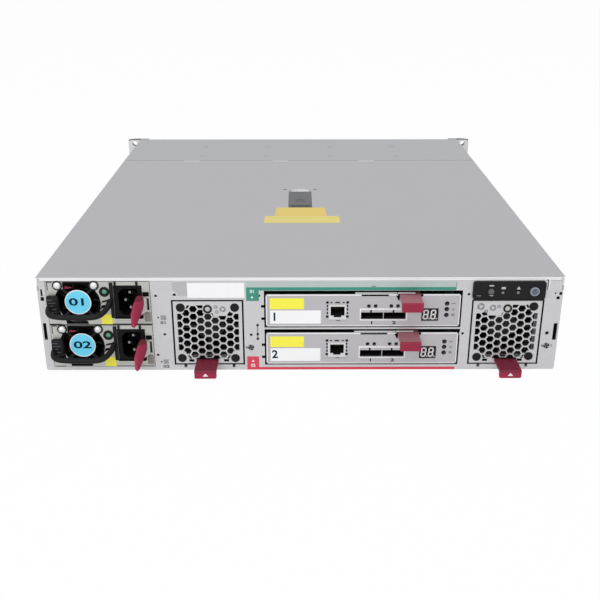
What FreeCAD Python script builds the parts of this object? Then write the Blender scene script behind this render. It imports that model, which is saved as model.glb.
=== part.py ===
import FreeCAD, Part
import math
import os
import Sketcher

# Disk shelf enclosure, two rack units high, in millimetres.
# X runs to the right as seen from the rear, Y from the rear to the front, Z up.
# The origin is the middle of the underside, half way between the rear face and the rack ears' front face.

# Driving sizes, each written once. The sheet holds them as plain numbers.
SIZES = {
    # chassis
    "body_width": 448.0, "body_height": 87.9, "body_depth": 538.0, "sheet": 1.2,
    "bend_radius": 2.0, "skirt_drop": 12.0, "slide_gap": 0.2, "seat_gap": 0.3,
    "cover_length": 411.4, "seam_gap": 0.6, "hem_drop": 3.4, "guide_wall": 1.0,
    "left_flange": 7.0, "right_flange": 14.0, "sill_height": 2.2, "panel_hole": 1.2, "notch": 2.6,
    "raised_patch": 0.6,
    # power supplies
    "psu_left": -216.65, "psu_width": 88.2, "psu_height": 39.4, "psu_depth": 194.0, "psu_floor": 3.4,
    "psu_pitch": 40.7, "psu_shelf": 0.6, "psu_wall": 1.0, "psu_fan_x": -17.95, "psu_fan_z": 19.8,
    "psu_fan_size": 37.0, "psu_fan_bore": 17.8, "psu_fan_depth": 20.0, "psu_hub": 11.0,
    "inlet_x": 25.3, "inlet_width": 24.4, "inlet_height": 30.4, "inlet_z": 20.85, "inlet_depth": 22.0,
    "inlet_gap": 0.15, "socket_width": 16.6, "socket_height": 24.4, "socket_depth": 20.0,
    "pin_length": 15.0, "pin_width": 4.0, "pin_thick": 2.0, "pin_spacing": 14.0,
    "handle_left": -43.0, "handle_right": 12.2, "handle_reach": 18.0, "handle_bar": 4.8,
    "handle_z": 14.2, "handle_height": 5.0, "grip_width": 9.4, "grip_depth": 6.0, "grip_height": 15.9,
    "lever_low": 13.4, "lever_high": 24.0, "lever_reach": 22.0, "lever_thick": 1.4, "lever_x": 41.0,
    "lever_pivot": 32.0, "lever_pin": 1.5, "lever_swing": 1.8,
    # fan modules
    "fan_face": 59.0, "fan_1_x": -80.0, "fan_2_x": 177.8, "fan_z": 6.5, "fan_depth": 80.0,
    "fan_face_sheet": 1.5, "fan_opening_gap": 1.5, "fan_wall": 1.2, "fan_bore": 27.0,
    "blade_inset": 1.2, "fan_frame_start": 14.0, "fan_frame_depth": 25.0, "fan_hub": 12.5, "hexagon": 6.1,
    "hexagon_pitch": 7.25, "grille_edge": 3.0, "tab_1_x": -1.9, "tab_2_x": 2.4,
    "tab_width": 19.0, "tab_reach": 22.0, "tab_thick": 2.0, "tab_lip": 7.3, "tab_pivot": 8.0,
    "tab_root": 1.5,
    # input and output modules
    "io_left": -30.0, "io_width": 167.0, "io_height": 30.0, "io_depth": 404.0, "io_lower_z": 6.0,
    "io_pitch": 36.0, "module_gap": 1.4, "module_gap_below": 1.2, "module_gap_above": 3.3,
    "io_face_sheet": 1.5, "io_wall": 1.0, "io_side_height": 22.0, "io_corner": 2.0,
    "board_z": 4.4, "board_thick": 1.6, "network_x": -21.75, "network_z": 13.6, "network_width": 16.0,
    "network_height": 13.4, "sas_left_x": 8.0, "sas_pitch": 19.5, "sas_width": 18.0, "sas_height": 5.5,
    "sas_z": 9.75, "sas_depth": 20.0, "display_x": 57.85, "display_z": 10.8, "display_width": 14.7,
    "display_height": 12.0, "io_lever_x": 40.0, "io_lever_width": 18.0, "io_lever_reach": 20.0,
    "io_lever_lip": 8.0, "light_hole": 1.6, "port_light_hole": 1.35,
    # power button panel
    "panel_left": 146.5, "panel_width": 62.0, "panel_bottom": 67.5, "panel_height": 16.5,
    "panel_proud": 2.0, "panel_depth": 8.0, "panel_step": 2.5, "power_x": 198.8, "button_z": 75.3,
    "power_radius": 4.0, "locate_x": 161.8, "locate_radius": 2.5, "button_fit": 0.1, "button_proud": 1.2,
    "button_travel": 1.5, "button_collar": 0.9,
    # drive bays
    "bays": 25.0, "bay_pitch": 16.9, "carrier_width": 16.4, "cage_floor": 3.2, "cage_sheet": 1.0,
    "carrier_height": 78.9, "bezel_front": 285.0, "bezel_depth": 22.0, "disk_width": 14.8,
    "disk_height": 69.85, "disk_length": 100.45, "midplane_face": 150.0, "midplane_thick": 2.4,
    "connector_reach": 10.2, "rib_width": 1.2, "rib_height": 2.0, "cage_front": 262.0,
    # rack ears
    "ear_span": 482.6, "ear_sheet": 2.0, "ear_margin": 1.2, "ear_hole_span": 465.1, "ear_hole_rise": 76.2,
    "ear_hole": 3.4, "ear_cap_depth": 10.0, "ear_cap_inner": 214.0, "ear_arm_length": 60.0,
    # cover latch
    "latch_x": 0.65, "latch_width": 24.6, "latch_rear": 203.0, "latch_length": 62.0, "latch_thick": 3.4,
    "latch_pin": 1.5, "latch_clear": 0.3, "tray_depth": 6.0, "finger_space": 10.0, "running_fit": 0.05,
}

document = FreeCAD.newDocument("disk_shelf")
sheet_object = document.addObject("Spreadsheet::Sheet", "sizes")
for row, (alias, number) in enumerate(SIZES.items(), start=1):
    sheet_object.set(f"A{row}", alias)
    sheet_object.set(f"B{row}", str(number))
    sheet_object.setAlias(f"B{row}", alias)
document.recompute()


class Length:
    """A size as a number, with the sheet expression that it comes from."""

    def __init__(self, value, text):
        self.value = value
        self.text = text

    def _with(self, other, sign, value, turned=False):
        pair = (read(other).text, self.text) if turned else (self.text, read(other).text)
        return Length(value, f"({pair[0]} {sign} {pair[1]})")

    def __add__(self, other):
        return self._with(other, "+", self.value + read(other).value)

    def __radd__(self, other):
        return self._with(other, "+", read(other).value + self.value, turned=True)

    def __sub__(self, other):
        return self._with(other, "-", self.value - read(other).value)

    def __rsub__(self, other):
        return self._with(other, "-", read(other).value - self.value, turned=True)

    def __mul__(self, other):
        return self._with(other, "*", self.value * read(other).value)

    def __rmul__(self, other):
        return self._with(other, "*", read(other).value * self.value, turned=True)

    def __truediv__(self, other):
        return self._with(other, "/", self.value / read(other).value)

    def __neg__(self):
        return Length(-self.value, f"(-{self.text})")


def read(value):
    return value if isinstance(value, Length) else Length(float(value), repr(float(value)))


def size(alias):
    return Length(SIZES[alias], f"sizes.{alias}")


def bind(item, name, value):
    """Set a property of an object from the sheet."""
    item.setExpression(name, read(value).text)


class Circle:
    def __init__(self, u, v, radius):
        self.u, self.v, self.radius = u, v, radius


def rectangle(u0, v0, u1, v1):
    return [(u0, v0), (u1, v0), (u1, v1), (u0, v1)]


def centred(u, v, width, height):
    return rectangle(u - width / 2, v - height / 2, u + width / 2, v + height / 2)


def mirrored(points):
    """A right-hand half outline, from bottom to top, closed with its mirror image."""
    return points + [(-u, v) for u, v in reversed(points)]


# Each plane with the sign of its normal along the axis that the feature runs along.
PLANES = {"XY": ("XY_Plane", 1), "XZ": ("XZ_Plane", -1), "YZ": ("YZ_Plane", 1)}


def new_body(name):
    return document.addObject("PartDesign::Body", name)


def origin_part(body, role):
    return next(item for item in body.Origin.OriginFeatures if item.Role == role)


def place_point(sketch, geometry, point, u, v):
    for kind, value in (("DistanceX", u), ("DistanceY", v)):
        at = sketch.addConstraint(Sketcher.Constraint(kind, -1, 1, geometry, point, read(value).value))
        sketch.setExpression(f"Constraints[{at}]", read(value).text)


def new_sketch(body, plane, station, loops):
    """A fully bound sketch of closed loops, at a station along the plane's axis."""
    role, sign = PLANES[plane]
    sketch = body.newObject("Sketcher::SketchObject", body.Name + "_sketch")
    sketch.AttachmentSupport = [(origin_part(body, role), "")]
    sketch.MapMode = "FlatFace"
    bind(sketch, "AttachmentOffset.Base.z", read(station) * sign)
    for loop in loops:
        if isinstance(loop, Circle):
            centre = FreeCAD.Vector(read(loop.u).value, read(loop.v).value, 0)
            circle = Part.Circle(centre, FreeCAD.Vector(0, 0, 1), read(loop.radius).value)
            index = sketch.addGeometry(circle)
            place_point(sketch, index, 3, loop.u, loop.v)
            at = sketch.addConstraint(Sketcher.Constraint("Radius", index, read(loop.radius).value))
            sketch.setExpression(f"Constraints[{at}]", read(loop.radius).text)
            continue
        corners = [FreeCAD.Vector(read(u).value, read(v).value, 0) for u, v in loop]
        count = len(corners)
        lines = [Part.LineSegment(corners[i], corners[(i + 1) % count]) for i in range(count)]
        first = sketch.addGeometry(lines)[0]
        for i in range(count):
            following = first + (i + 1) % count
            sketch.addConstraint(Sketcher.Constraint("Coincident", first + i, 2, following, 1))
        for i, (u, v) in enumerate(loop):
            place_point(sketch, first + i, 1, u, v)
    return sketch


def extrude(body, kind, plane, start, length, *loops):
    """A pad or pocket from start, for length, towards the positive end of the plane's axis."""
    sketch = new_sketch(body, plane, start, loops)
    feature = body.newObject("PartDesign::" + kind, f"{body.Name}_{kind.lower()}")
    feature.Profile = sketch
    feature.Reversed = (PLANES[plane][1] < 0) == (kind == "Pad")
    bind(feature, "Length", length)
    return feature


def pad(body, plane, start, length, *loops):
    return extrude(body, "Pad", plane, start, length, *loops)


def pocket(body, plane, start, length, *loops):
    base = body.Tip
    feature = extrude(body, "Pocket", plane, start, length, *loops)
    cuts.append((base, feature))
    return feature


# Each pocket with the feature before it, to test at the end that it takes something away.
cuts = []


def repeat(body, features, direction, count, pitch):
    """A row of copies of features along one of the body's own axes."""
    pattern = body.newObject("PartDesign::LinearPattern", body.Name + "_row")
    pattern.Originals = features
    pattern.Direction = (origin_part(body, direction), [""])
    pattern.Mode = "Extent"
    bind(pattern, "Length", pitch * (read(count) - 1))
    bind(pattern, "Occurrences", count)
    body.Tip = pattern
    return pattern


def turn(body, features, direction, count):
    """Copies of features spread round one of the body's own axes."""
    pattern = body.newObject("PartDesign::PolarPattern", body.Name + "_ring")
    pattern.Originals = features
    pattern.Axis = (origin_part(body, direction), [""])
    pattern.Angle = 360.0
    pattern.Occurrences = count
    body.Tip = pattern
    return pattern


def edges_along(body, axis, keep):
    """Names of the body's straight edges that run along an axis and pass a test of their middle point."""
    document.recompute()
    names = []
    for index, edge in enumerate(body.Shape.Edges, start=1):
        if edge.Curve.TypeId != "Part::GeomLine":
            continue
        along = abs(edge.Curve.Direction.dot(axis)) > 0.999
        if along and keep(edge.CenterOfMass):
            names.append(f"Edge{index}")
    return names


def soften(body, kind, radius, axis, keep):
    """A fillet or chamfer of the edges that edges_along finds."""
    names = edges_along(body, axis, keep)
    if not names:
        raise SystemExit(f"no edge to soften on {body.Name}")
    base = body.Tip
    feature = body.newObject("PartDesign::" + kind, f"{body.Name}_{kind.lower()}")
    feature.Base = (base, names)
    bind(feature, "Radius" if kind == "Fillet" else "Size", radius)
    return feature


ALONG_X = FreeCAD.Vector(1, 0, 0)
ALONG_Y = FreeCAD.Vector(0, 1, 0)
ALONG_Z = FreeCAD.Vector(0, 0, 1)
nodes = []


def node(label, pieces, x=0, y=0, z=0):
    """A named sub-part: one or more solids, set in its place from the sheet."""
    group = document.addObject("Part::Compound", label)
    group.Label = label
    group.Links = pieces
    for axis, value in (("x", x), ("y", y), ("z", z)):
        bind(group, f"Placement.Base.{axis}", value)
    nodes.append(group)
    return group


# Places that several sub-parts share.
sheet = size("sheet")
half_width = size("body_width") / 2
rear = -size("body_depth") / 2
front = size("body_depth") / 2
top = size("body_height")
wall = size("guide_wall")
slide_gap = size("slide_gap")
seat_gap = size("seat_gap")
inner_half = half_width - sheet
upper_outer = half_width - sheet - slide_gap
upper_inner = upper_outer - sheet
joggle = top - size("skirt_drop")
under_cover = top - sheet
panel_front = rear + sheet
opening_top = top - size("hem_drop")
psu_right = size("psu_left") + size("psu_width")
divider = psu_right + seat_gap + 0.15
flange_right = half_width - size("right_flange")
flange_left = -half_width + size("left_flange")
psu_lower = size("psu_floor") + seat_gap
psu_upper = psu_lower + size("psu_pitch")
psu_x = size("psu_left") + size("psu_width") / 2
psu_end = rear + size("psu_depth")
fan_end = rear + size("fan_depth")
io_x = size("io_left") + size("io_width") / 2
io_right = size("io_left") + size("io_width")
io_upper = size("io_lower_z") + size("io_pitch")
midplane_back = size("midplane_face") - size("midplane_thick")
io_end = rear + size("io_depth")


def build_base_pan():
    """Folded tray with inset upper walls, rear flanges and a sill under the power supplies."""
    body = new_body("base_pan_body")
    half = [(half_width, 0), (half_width, joggle - slide_gap), (upper_outer, joggle - slide_gap),
            (upper_outer, under_cover - slide_gap), (upper_inner, under_cover - slide_gap),
            (upper_inner, joggle - slide_gap - sheet), (inner_half, joggle - slide_gap - sheet),
            (inner_half, sheet)]
    pad(body, "XZ", rear, size("body_depth") - size("ear_sheet"), mirrored(half))
    corner = half_width.value - 0.01
    soften(body, "Fillet", size("bend_radius"), ALONG_Y, lambda p: abs(p.x) > corner and p.z < 0.01)
    flange_top = opening_top - slide_gap
    left = rectangle(-upper_inner, sheet, flange_left, flange_top)
    right = rectangle(flange_right, sheet, upper_inner, flange_top)
    sill = rectangle(flange_left, sheet, divider, sheet + size("sill_height"))
    pad(body, "XZ", rear, sheet, left, right, sill)
    outer = joggle - slide_gap - sheet
    pad(body, "XZ", rear, sheet, rectangle(-inner_half, sheet, -upper_inner, outer),
        rectangle(upper_inner, sheet, inner_half, outer))
    locks = [rectangle(-inner_half + 0.2, 29.5, -inner_half + 3.0, 45.5),
             rectangle(inner_half - 3.6, 28.5, inner_half - 0.2, 44.5),
             rectangle(-221.3, 71.0, -220.1, 77.0), Circle(-220.2, 68.6, 1.1),
             Circle(220.2, 68.2, 0.9), Circle(217.6, 72.6, 0.8), Circle(214.2, 35.2, 1.6)]
    pocket(body, "XZ", rear, sheet, *locks)
    patch = size("raised_patch")
    pad(body, "XZ", rear - patch, patch, rectangle(212.0, 74.5, 220.6, flange_top))
    return body


def build_rear_panel():
    """Flat rear panel with the module openings, its small holes and the notches round them."""
    body = new_body("rear_panel_body")
    outline = rectangle(divider, sheet, flange_right, opening_top - slide_gap)
    fan_side = size("fan_face") / 2 + size("fan_opening_gap")
    fan_low = size("fan_z") - size("fan_opening_gap")
    fan_high = size("fan_z") + size("fan_face") + size("fan_opening_gap")
    fans = [rectangle(x - fan_side, fan_low, x + fan_side, fan_high)
            for x in (size("fan_1_x"), size("fan_2_x"))]
    io_low, io_high = size("io_left") - size("module_gap"), io_right + size("module_gap")
    modules = [rectangle(io_low, z - size("module_gap_below"), io_high,
                         z + size("io_height") + size("module_gap_above"))
               for z in (io_upper, size("io_lower_z"))]
    pad(body, "XZ", rear, sheet, outline, *fans, *modules, panel_hole(slide_gap))
    holes = [(-123.7, 70.7), (-107.7, 71.7), (-118.0, 34.5), (-125.0, 14.7), (-43.0, 34.0),
             (143.7, 71.7), (140.8, 34.8), (-35.7, 70.8)]
    pocket(body, "XZ", rear, sheet, *[Circle(x, z, size("panel_hole")) for x, z in holes])
    notches = [centred(io_low, z, size("notch") * 2, size("notch")) for z in (60.8, 49.2, 24.3, 12.5)]
    notches += [centred(x + side, fan_low, size("notch"), size("notch") * 2)
                for x in (size("fan_1_x"), size("fan_2_x")) for side in (-21.2, 21.2)]
    pocket(body, "XZ", rear, sheet, *notches)
    patch = size("raised_patch")
    pad(body, "XZ", rear - patch, patch, rectangle(-121.5, 77.0, -109.0, opening_top - slide_gap))
    return body


def panel_hole(gap):
    """Outline of the power panel's inner block, grown by a gap."""
    step = size("panel_step") - gap
    left, low = size("panel_left"), size("panel_bottom")
    return rectangle(left + step, low + step, left + size("panel_width") - step,
                     low + size("panel_height") - step)


def build_bay_frame():
    """Guide walls, floors and the shelf that carry the plug-in modules."""
    body = new_body("bay_frame_body")
    setback = panel_front + 5.0
    psu_back = psu_end + 2.0
    psu_guide = size("psu_left") - slide_gap
    io_low, io_high = size("io_left") - seat_gap, io_right + seat_gap
    floor_end = midplane_back - 12.0
    psu_walls = [rectangle(psu_guide - wall, panel_front, psu_guide, psu_back),
                 rectangle(divider, panel_front, divider + wall, psu_back)]
    pad(body, "XY", sheet, under_cover - sheet - seat_gap, *psu_walls)
    fan_walls = []
    for x in (size("fan_1_x"), size("fan_2_x")):
        side = size("fan_face") / 2 + seat_gap
        fan_walls += [rectangle(x - side - wall, setback, x - side, fan_end),
                      rectangle(x + side, setback, x + side + wall, fan_end)]
    pad(body, "XY", sheet, size("fan_face"), *fan_walls)
    io_walls = [rectangle(io_low - wall, setback, io_low, floor_end),
                rectangle(io_high, setback, io_high + wall, floor_end)]
    pad(body, "XY", sheet, io_upper + size("io_height") / 2, *io_walls)
    shelf_z = psu_upper - seat_gap / 2 - size("psu_shelf")
    pad(body, "XZ", panel_front, psu_back - panel_front,
        rectangle(psu_guide, size("psu_floor") - wall, divider, size("psu_floor")),
        rectangle(psu_guide, shelf_z, divider, shelf_z + size("psu_shelf")))
    floors = [rectangle(io_low, z - seat_gap - wall, io_high, z - seat_gap)
              for z in (size("io_lower_z"), io_upper)]
    pad(body, "XZ", setback, floor_end - setback, *floors)
    fan_floor = size("fan_z") - seat_gap
    fan_floors = [rectangle(x - size("fan_face") / 2 - seat_gap, fan_floor - wall,
                            x + size("fan_face") / 2 + seat_gap, fan_floor)
                  for x in (size("fan_1_x"), size("fan_2_x"))]
    pad(body, "XZ", setback, fan_end - setback, *fan_floors)
    return body


bay_centres = [size("bay_pitch") * (i - (SIZES["bays"] - 1) / 2) for i in range(int(SIZES["bays"]))]
cage_half = size("bay_pitch") * size("bays") / 2 + slide_gap
cage_ceiling = size("cage_floor") + size("cage_sheet") + seat_gap * 2 + size("carrier_height")
carrier_bottom = size("cage_floor") + size("cage_sheet") + seat_gap


def build_drive_cage():
    """Front top plate with its skirts, side plates, floor, ceiling and the ribs between the bays."""
    body = new_body("drive_cage_body")
    start = rear + size("cover_length") + size("seam_gap")
    plate = [(half_width, joggle), (half_width, top)]
    inside = [(-inner_half, joggle), (-inner_half, under_cover), (inner_half, under_cover),
              (inner_half, joggle)]
    outline = plate + [(-u, v) for u, v in reversed(plate)] + inside
    pad(body, "XZ", start, front - size("ear_sheet") - start, outline)
    length = size("cage_front") - size("midplane_face")
    side = cage_half + size("cage_sheet")
    pad(body, "XZ", size("midplane_face"), length,
        rectangle(cage_half, sheet, side, under_cover), rectangle(-side, sheet, -cage_half, under_cover))
    pad(body, "XZ", size("midplane_face"), length,
        rectangle(-cage_half, size("cage_floor"), cage_half, size("cage_floor") + size("cage_sheet")),
        rectangle(-cage_half, cage_ceiling, cage_half, cage_ceiling + size("cage_sheet")))
    x = -size("bay_pitch") * (size("bays") / 2 - 1)
    low = size("cage_floor") + size("cage_sheet")
    rib_start = size("midplane_face") + size("connector_reach")
    rib = pad(body, "XZ", rib_start, size("cage_front") - size("bezel_depth") / 4 - rib_start,
              centred(x, low + size("rib_height") / 2, size("rib_width"), size("rib_height")),
              centred(x, cage_ceiling - size("rib_height") / 2, size("rib_width"), size("rib_height")))
    repeat(body, [rib], "X_Axis", size("bays") - 1, size("bay_pitch"))
    return body


def build_midplane():
    """Circuit board across the chassis with one connector for each bay and two for each module."""
    body = new_body("midplane_body")
    board = rectangle(-cage_half - 2.0, 3.0, cage_half + 2.0, top - 4.0)
    pad(body, "XZ", midplane_back, size("midplane_thick"), board)
    first = -size("bay_pitch") * (size("bays") - 1) / 2
    connector = pad(body, "XZ", size("midplane_face"), size("connector_reach"),
                    centred(first, 36.0, 6.4, 33.0))
    repeat(body, [connector], "X_Axis", size("bays"), size("bay_pitch"))
    slot = pocket(body, "XZ", midplane_back, size("midplane_thick"),
                  centred(first, 65.0, 8.0, 18.0), centred(first, 11.0, 8.0, 8.0))
    repeat(body, [slot], "X_Axis", size("bays"), size("bay_pitch"))
    sockets = [centred(io_x + side, z + size("board_z") + 5.0, 62.0, 7.0)
               for side in (-40.0, 40.0) for z in (size("io_lower_z"), io_upper)]
    reach = midplane_back - io_end - seat_gap
    pad(body, "XZ", io_end + seat_gap, reach, *sockets)
    return body


def build_power_board():
    """Upright board behind the power supplies, with a socket for each and bars to the midplane."""
    body = new_body("power_board_body")
    back = psu_end + 2.0
    pad(body, "XZ", back, 2.4, rectangle(size("psu_left") - 1.0, sheet, divider + wall, top - 4.0))
    sockets = [centred(psu_x, z + 8.0, 60.0, 8.0) for z in (psu_lower, psu_upper)]
    pad(body, "XZ", psu_end + seat_gap, 2.0 - seat_gap, *sockets)
    bars = [centred(-150.0, z, 3.0, 14.0) for z in (30.0, 60.0)]
    pad(body, "XZ", back + 2.4, midplane_back - back - 2.4, *bars)
    return body


def build_fan_board(x, name):
    """Small upright board that a fan module plugs into."""
    body = new_body(name)
    half = size("fan_face") / 2 + seat_gap + wall
    pad(body, "XZ", fan_end + 2.0, 1.6, rectangle(x - half, sheet, x + half, size("fan_face")))
    pad(body, "XZ", fan_end + seat_gap, 2.0 - seat_gap, centred(x, size("fan_z") + 8.0, 24.0, 7.0))
    return body


def build_ear(side, name):
    """Folded rack ear with its two mounting holes; side is 1 on the right and -1 on the left."""
    body = new_body(name)
    outer = size("ear_span") / 2
    low, high = size("ear_margin"), top - size("ear_margin")
    arm_outer = upper_inner
    arm_inner = arm_outer - size("ear_sheet") * 0.75

    def span(u0, v0, u1, v1):
        return rectangle(side * u0, v0, side * u1, v1)

    middle = top / 2
    rise = size("ear_hole_rise") / 2
    holes = [Circle(side * size("ear_hole_span") / 2, middle + k * rise, size("ear_hole")) for k in (-1, 1)]
    pad(body, "XZ", front - size("ear_sheet"), size("ear_sheet"), span(arm_inner, low, outer, high), *holes)
    pad(body, "XZ", front - size("ear_sheet") - size("ear_arm_length"), size("ear_arm_length"),
        span(arm_inner, 8.0, arm_outer, joggle - 6.0))
    edge = outer.value - 0.01
    soften(body, "Fillet", 3.0, ALONG_Y, lambda p: abs(p.x) > edge)
    return body


def build_ear_cap(side, name):
    """Moulded end cap on the front of a rack ear, with a well round each mounting hole."""
    body = new_body(name)
    inner, outer = size("ear_cap_inner"), size("ear_span") / 2
    low, high = size("ear_margin"), top - size("ear_margin")
    depth = size("ear_cap_depth")
    profile = [(side * inner, front), (side * outer, front), (side * outer, front + depth * 0.55),
               (side * (outer - 6.0), front + depth * 0.9), (side * (outer - 12.0), front + depth),
               (side * inner, front + depth)]
    pad(body, "XY", low, high - low, profile)
    middle = top / 2
    rise = size("ear_hole_rise") / 2
    wells = [Circle(side * size("ear_hole_span") / 2, middle + k * rise, size("ear_hole") + 0.8)
             for k in (-1, 1)]
    pocket(body, "XZ", front, depth, *wells)
    return body


def build_top_cover():
    """Sliding cover: top sheet, side skirts, rear hem and the sunk tray of its latch."""
    body = new_body("top_cover_body")
    plate = [(half_width, joggle), (half_width, top)]
    inside = [(-inner_half, joggle), (-inner_half, under_cover), (inner_half, under_cover),
              (inner_half, joggle)]
    outline = plate + [(-u, v) for u, v in reversed(plate)] + inside
    pad(body, "XZ", rear, size("cover_length"), outline)
    hem = upper_inner - slide_gap
    pad(body, "XZ", rear, sheet, rectangle(-hem, opening_top, hem, under_cover))
    x, clear = size("latch_x"), size("latch_clear")
    half = size("latch_width") / 2 + clear
    near = rear + size("latch_rear") - clear
    far = near + size("latch_length") + 2 * clear + size("finger_space")
    bottom = top - size("tray_depth")
    pad(body, "XY", bottom - sheet, size("tray_depth") + sheet - sheet / 2,
        rectangle(x - half - sheet, near - sheet, x + half + sheet, far + sheet))
    pocket(body, "XY", bottom, size("tray_depth") + 1.0, rectangle(x - half, near, x + half, far))
    pin = size("latch_pin")
    y, z = near + clear + pin + 0.4, top - pin - 0.4
    pocket(body, "YZ", x - half - sheet, size("latch_width") + 2 * clear + 2 * sheet,
           Circle(y, z, pin + size("running_fit")))
    soften(body, "Fillet", half - 2.0, ALONG_Z, lambda p: abs(p.y - far.value) < 0.01 and p.z > bottom.value
           and abs(p.x - x.value) < half.value + 0.01)
    return body


def build_cover_latch():
    """Latch pad that lifts about a cross pin at its rear end."""
    body = new_body("cover_latch_body")
    x, clear, pin = size("latch_x"), size("latch_clear"), size("latch_pin")
    near = rear + size("latch_rear")
    half = size("latch_width") / 2
    y, z = near + pin + 0.4, top - pin - 0.4
    high, low = top - 0.2, top - 0.2 - size("latch_thick")
    pad(body, "YZ", x - half, size("latch_width"), rectangle(y, low, near + size("latch_length"), high))
    pad(body, "YZ", x - half, size("latch_width"), Circle(y, z, pin + 0.2))
    pad(body, "YZ", x - half - clear - sheet + 0.1, size("latch_width") + 2 * (clear + sheet - 0.1),
        Circle(y, z, pin))
    return body


def build_psu_case():
    """Sheet metal box of a power supply, with its fan, inlet, light and lever openings."""
    body = new_body("psu_case_body")
    half, height, thick = size("psu_width") / 2, size("psu_height"), size("psu_wall")
    depth = size("psu_depth")
    pad(body, "XZ", 0, depth, rectangle(-half, 0, half, height),
        rectangle(-half + thick, thick, half - thick, height - thick))
    fan_x, middle = size("psu_fan_x"), size("psu_fan_z")
    inlet = centred(size("inlet_x"), size("inlet_z"), size("inlet_width"), size("inlet_height"))
    slot = rectangle(size("lever_x") - size("lever_thick") - size("lever_swing"), size("lever_low") - slide_gap,
                     size("lever_x") + size("lever_swing"), size("lever_high") + slide_gap)
    pad(body, "XZ", 0, thick, rectangle(-half + thick, thick, half - thick, height - thick),
        Circle(fan_x, middle, size("psu_fan_bore")), inlet, slot, Circle(5.5, 30.3, 2.4))
    pad(body, "XZ", depth - thick, thick, rectangle(-half + thick, thick, half - thick, height - thick),
        centred(0, 26.0, 60.0, 14.0))
    blade = rectangle(-28.0, 6.0, 28.0, 8.0)
    pad(body, "XZ", depth, seat_gap, blade)
    return body


def build_psu_fan_frame():
    """Square frame of the small fan, with the hub plate and its four struts."""
    body = new_body("psu_fan_frame_body")
    x, middle = size("psu_fan_x"), size("psu_fan_z")
    side = size("psu_fan_size")
    start = size("psu_wall")
    bore = Circle(x, middle, size("psu_fan_bore"))
    pad(body, "XZ", start, size("psu_fan_depth"), centred(x, middle, side, side), bore)
    hub = size("psu_hub")
    reach = size("psu_fan_bore") * 0.72 + 1.0
    pad(body, "XZ", start, 2.4, Circle(x, middle, hub))
    strut = 1.6
    arms = []
    for turn_x, turn_z in ((1, 1), (1, -1), (-1, 1), (-1, -1)):
        inner = hub * 0.6
        arms.append([(x + turn_x * inner, middle + turn_z * (inner - strut)),
                     (x + turn_x * reach, middle + turn_z * (reach - strut)),
                     (x + turn_x * reach, middle + turn_z * (reach + strut)),
                     (x + turn_x * inner, middle + turn_z * (inner + strut))])
    pad(body, "XZ", start, 2.0, *arms)
    pocket(body, "XZ", start + 1.0, 2.0, Circle(x, middle, 1.5 + size("running_fit")))
    return body


def build_rotor(name, hub, tip, start, depth, blades, pin_start):
    """Fan rotor about its own Y axis: hub, pitched blades and the pin that turns in the frame."""
    body = new_body(name)
    pad(body, "XZ", start, depth, Circle(0, 0, hub))
    pad(body, "XZ", pin_start, start - pin_start, Circle(0, 0, 1.5))
    low, high = start + size("blade_inset"), start + depth - size("blade_inset")
    half, thick, root = hub * 0.46, hub * 0.12, hub * 0.8
    blade = pad(body, "XY", root, tip - root,
                [(-half, low), (-half + thick, low), (half, high), (half - thick, high)])
    turn(body, [blade], "Y_Axis", blades)
    return body


def build_psu_inlet():
    """Three-pin appliance inlet, its socket open to the rear."""
    body = new_body("psu_inlet_body")
    x, z = size("inlet_x"), size("inlet_z")
    gap = size("inlet_gap")
    pad(body, "XZ", 0, size("inlet_depth"),
        centred(x, z, size("inlet_width") - 2 * gap, size("inlet_height") - 2 * gap))
    half_w, half_h = size("socket_width") / 2, size("socket_height") / 2
    key = 4.0
    socket = [(x - half_w + key, z - half_h), (x + half_w, z - half_h), (x + half_w, z + half_h),
              (x - half_w + key, z + half_h), (x - half_w, z + half_h - key), (x - half_w, z - half_h + key)]
    pocket(body, "XZ", 0, size("socket_depth"), socket)
    spread = size("pin_spacing") / 2
    pins = [centred(x + dx, z + dz, size("pin_width"), size("pin_thick"))
            for dx, dz in ((1.8, spread), (1.8, -spread), (-2.2, 0))]
    pad(body, "XZ", size("socket_depth") - size("pin_length"), size("pin_length"), *pins)
    return body


def build_psu_lever():
    """Release lever: an arm on an upright pin inside the case, and a drooping curved leaf outside it."""
    body = new_body("psu_lever_body")
    x, thick, reach = size("lever_x"), size("lever_thick"), size("lever_reach")
    pivot, inner = size("lever_pivot"), size("lever_x") - size("lever_thick")
    low, high = size("lever_low"), size("lever_high")
    pad(body, "XY", low, high - low, rectangle(inner, -1.0, x, pivot))
    bow = x - 9.0
    leaf = [(x, 0), (x, -2.0), (x - 2.4, -3.8), (x - 5.4, -6.6), (bow + 0.6, -11.0), (bow - 0.4, -15.6),
            (bow, -19.6), (bow + 1.6, -reach), (bow + 0.2, -reach), (bow - 1.7, -20.0), (bow - 2.2, -15.4),
            (bow - 1.2, -9.8), (x - 6.8, -5.0), (x - 4.0, -2.2), (inner, -1.0), (inner, 0)]
    drop = 8.0
    pad(body, "XY", low - drop, high - low + drop + 1.8, leaf)
    above = [(-reach - 1.0, low - 3.2), (-reach + 1.0, low - 3.0), (-16.0, low + 3.4), (-8.0, high - 2.0),
             (-2.0, high + 1.2), (-0.5, high), (1.0, high), (1.0, high + 4.0), (-reach - 1.0, high + 4.0)]
    below = [(-reach - 1.0, low - drop - 1.0), (1.0, low - drop - 1.0), (1.0, low), (-1.0, low),
             (-8.0, low - 3.8), (-16.0, low - 5.2), (-reach - 1.0, low - 7.2)]
    pocket(body, "YZ", x - 20.0, 24.0, above)
    pocket(body, "YZ", x - 20.0, 24.0, below)
    inset = size("psu_wall") + slide_gap
    pad(body, "XY", inset, size("psu_height") - inset * 2,
        Circle(inner - size("lever_pin") + 0.5, pivot, size("lever_pin")))
    return body


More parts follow.
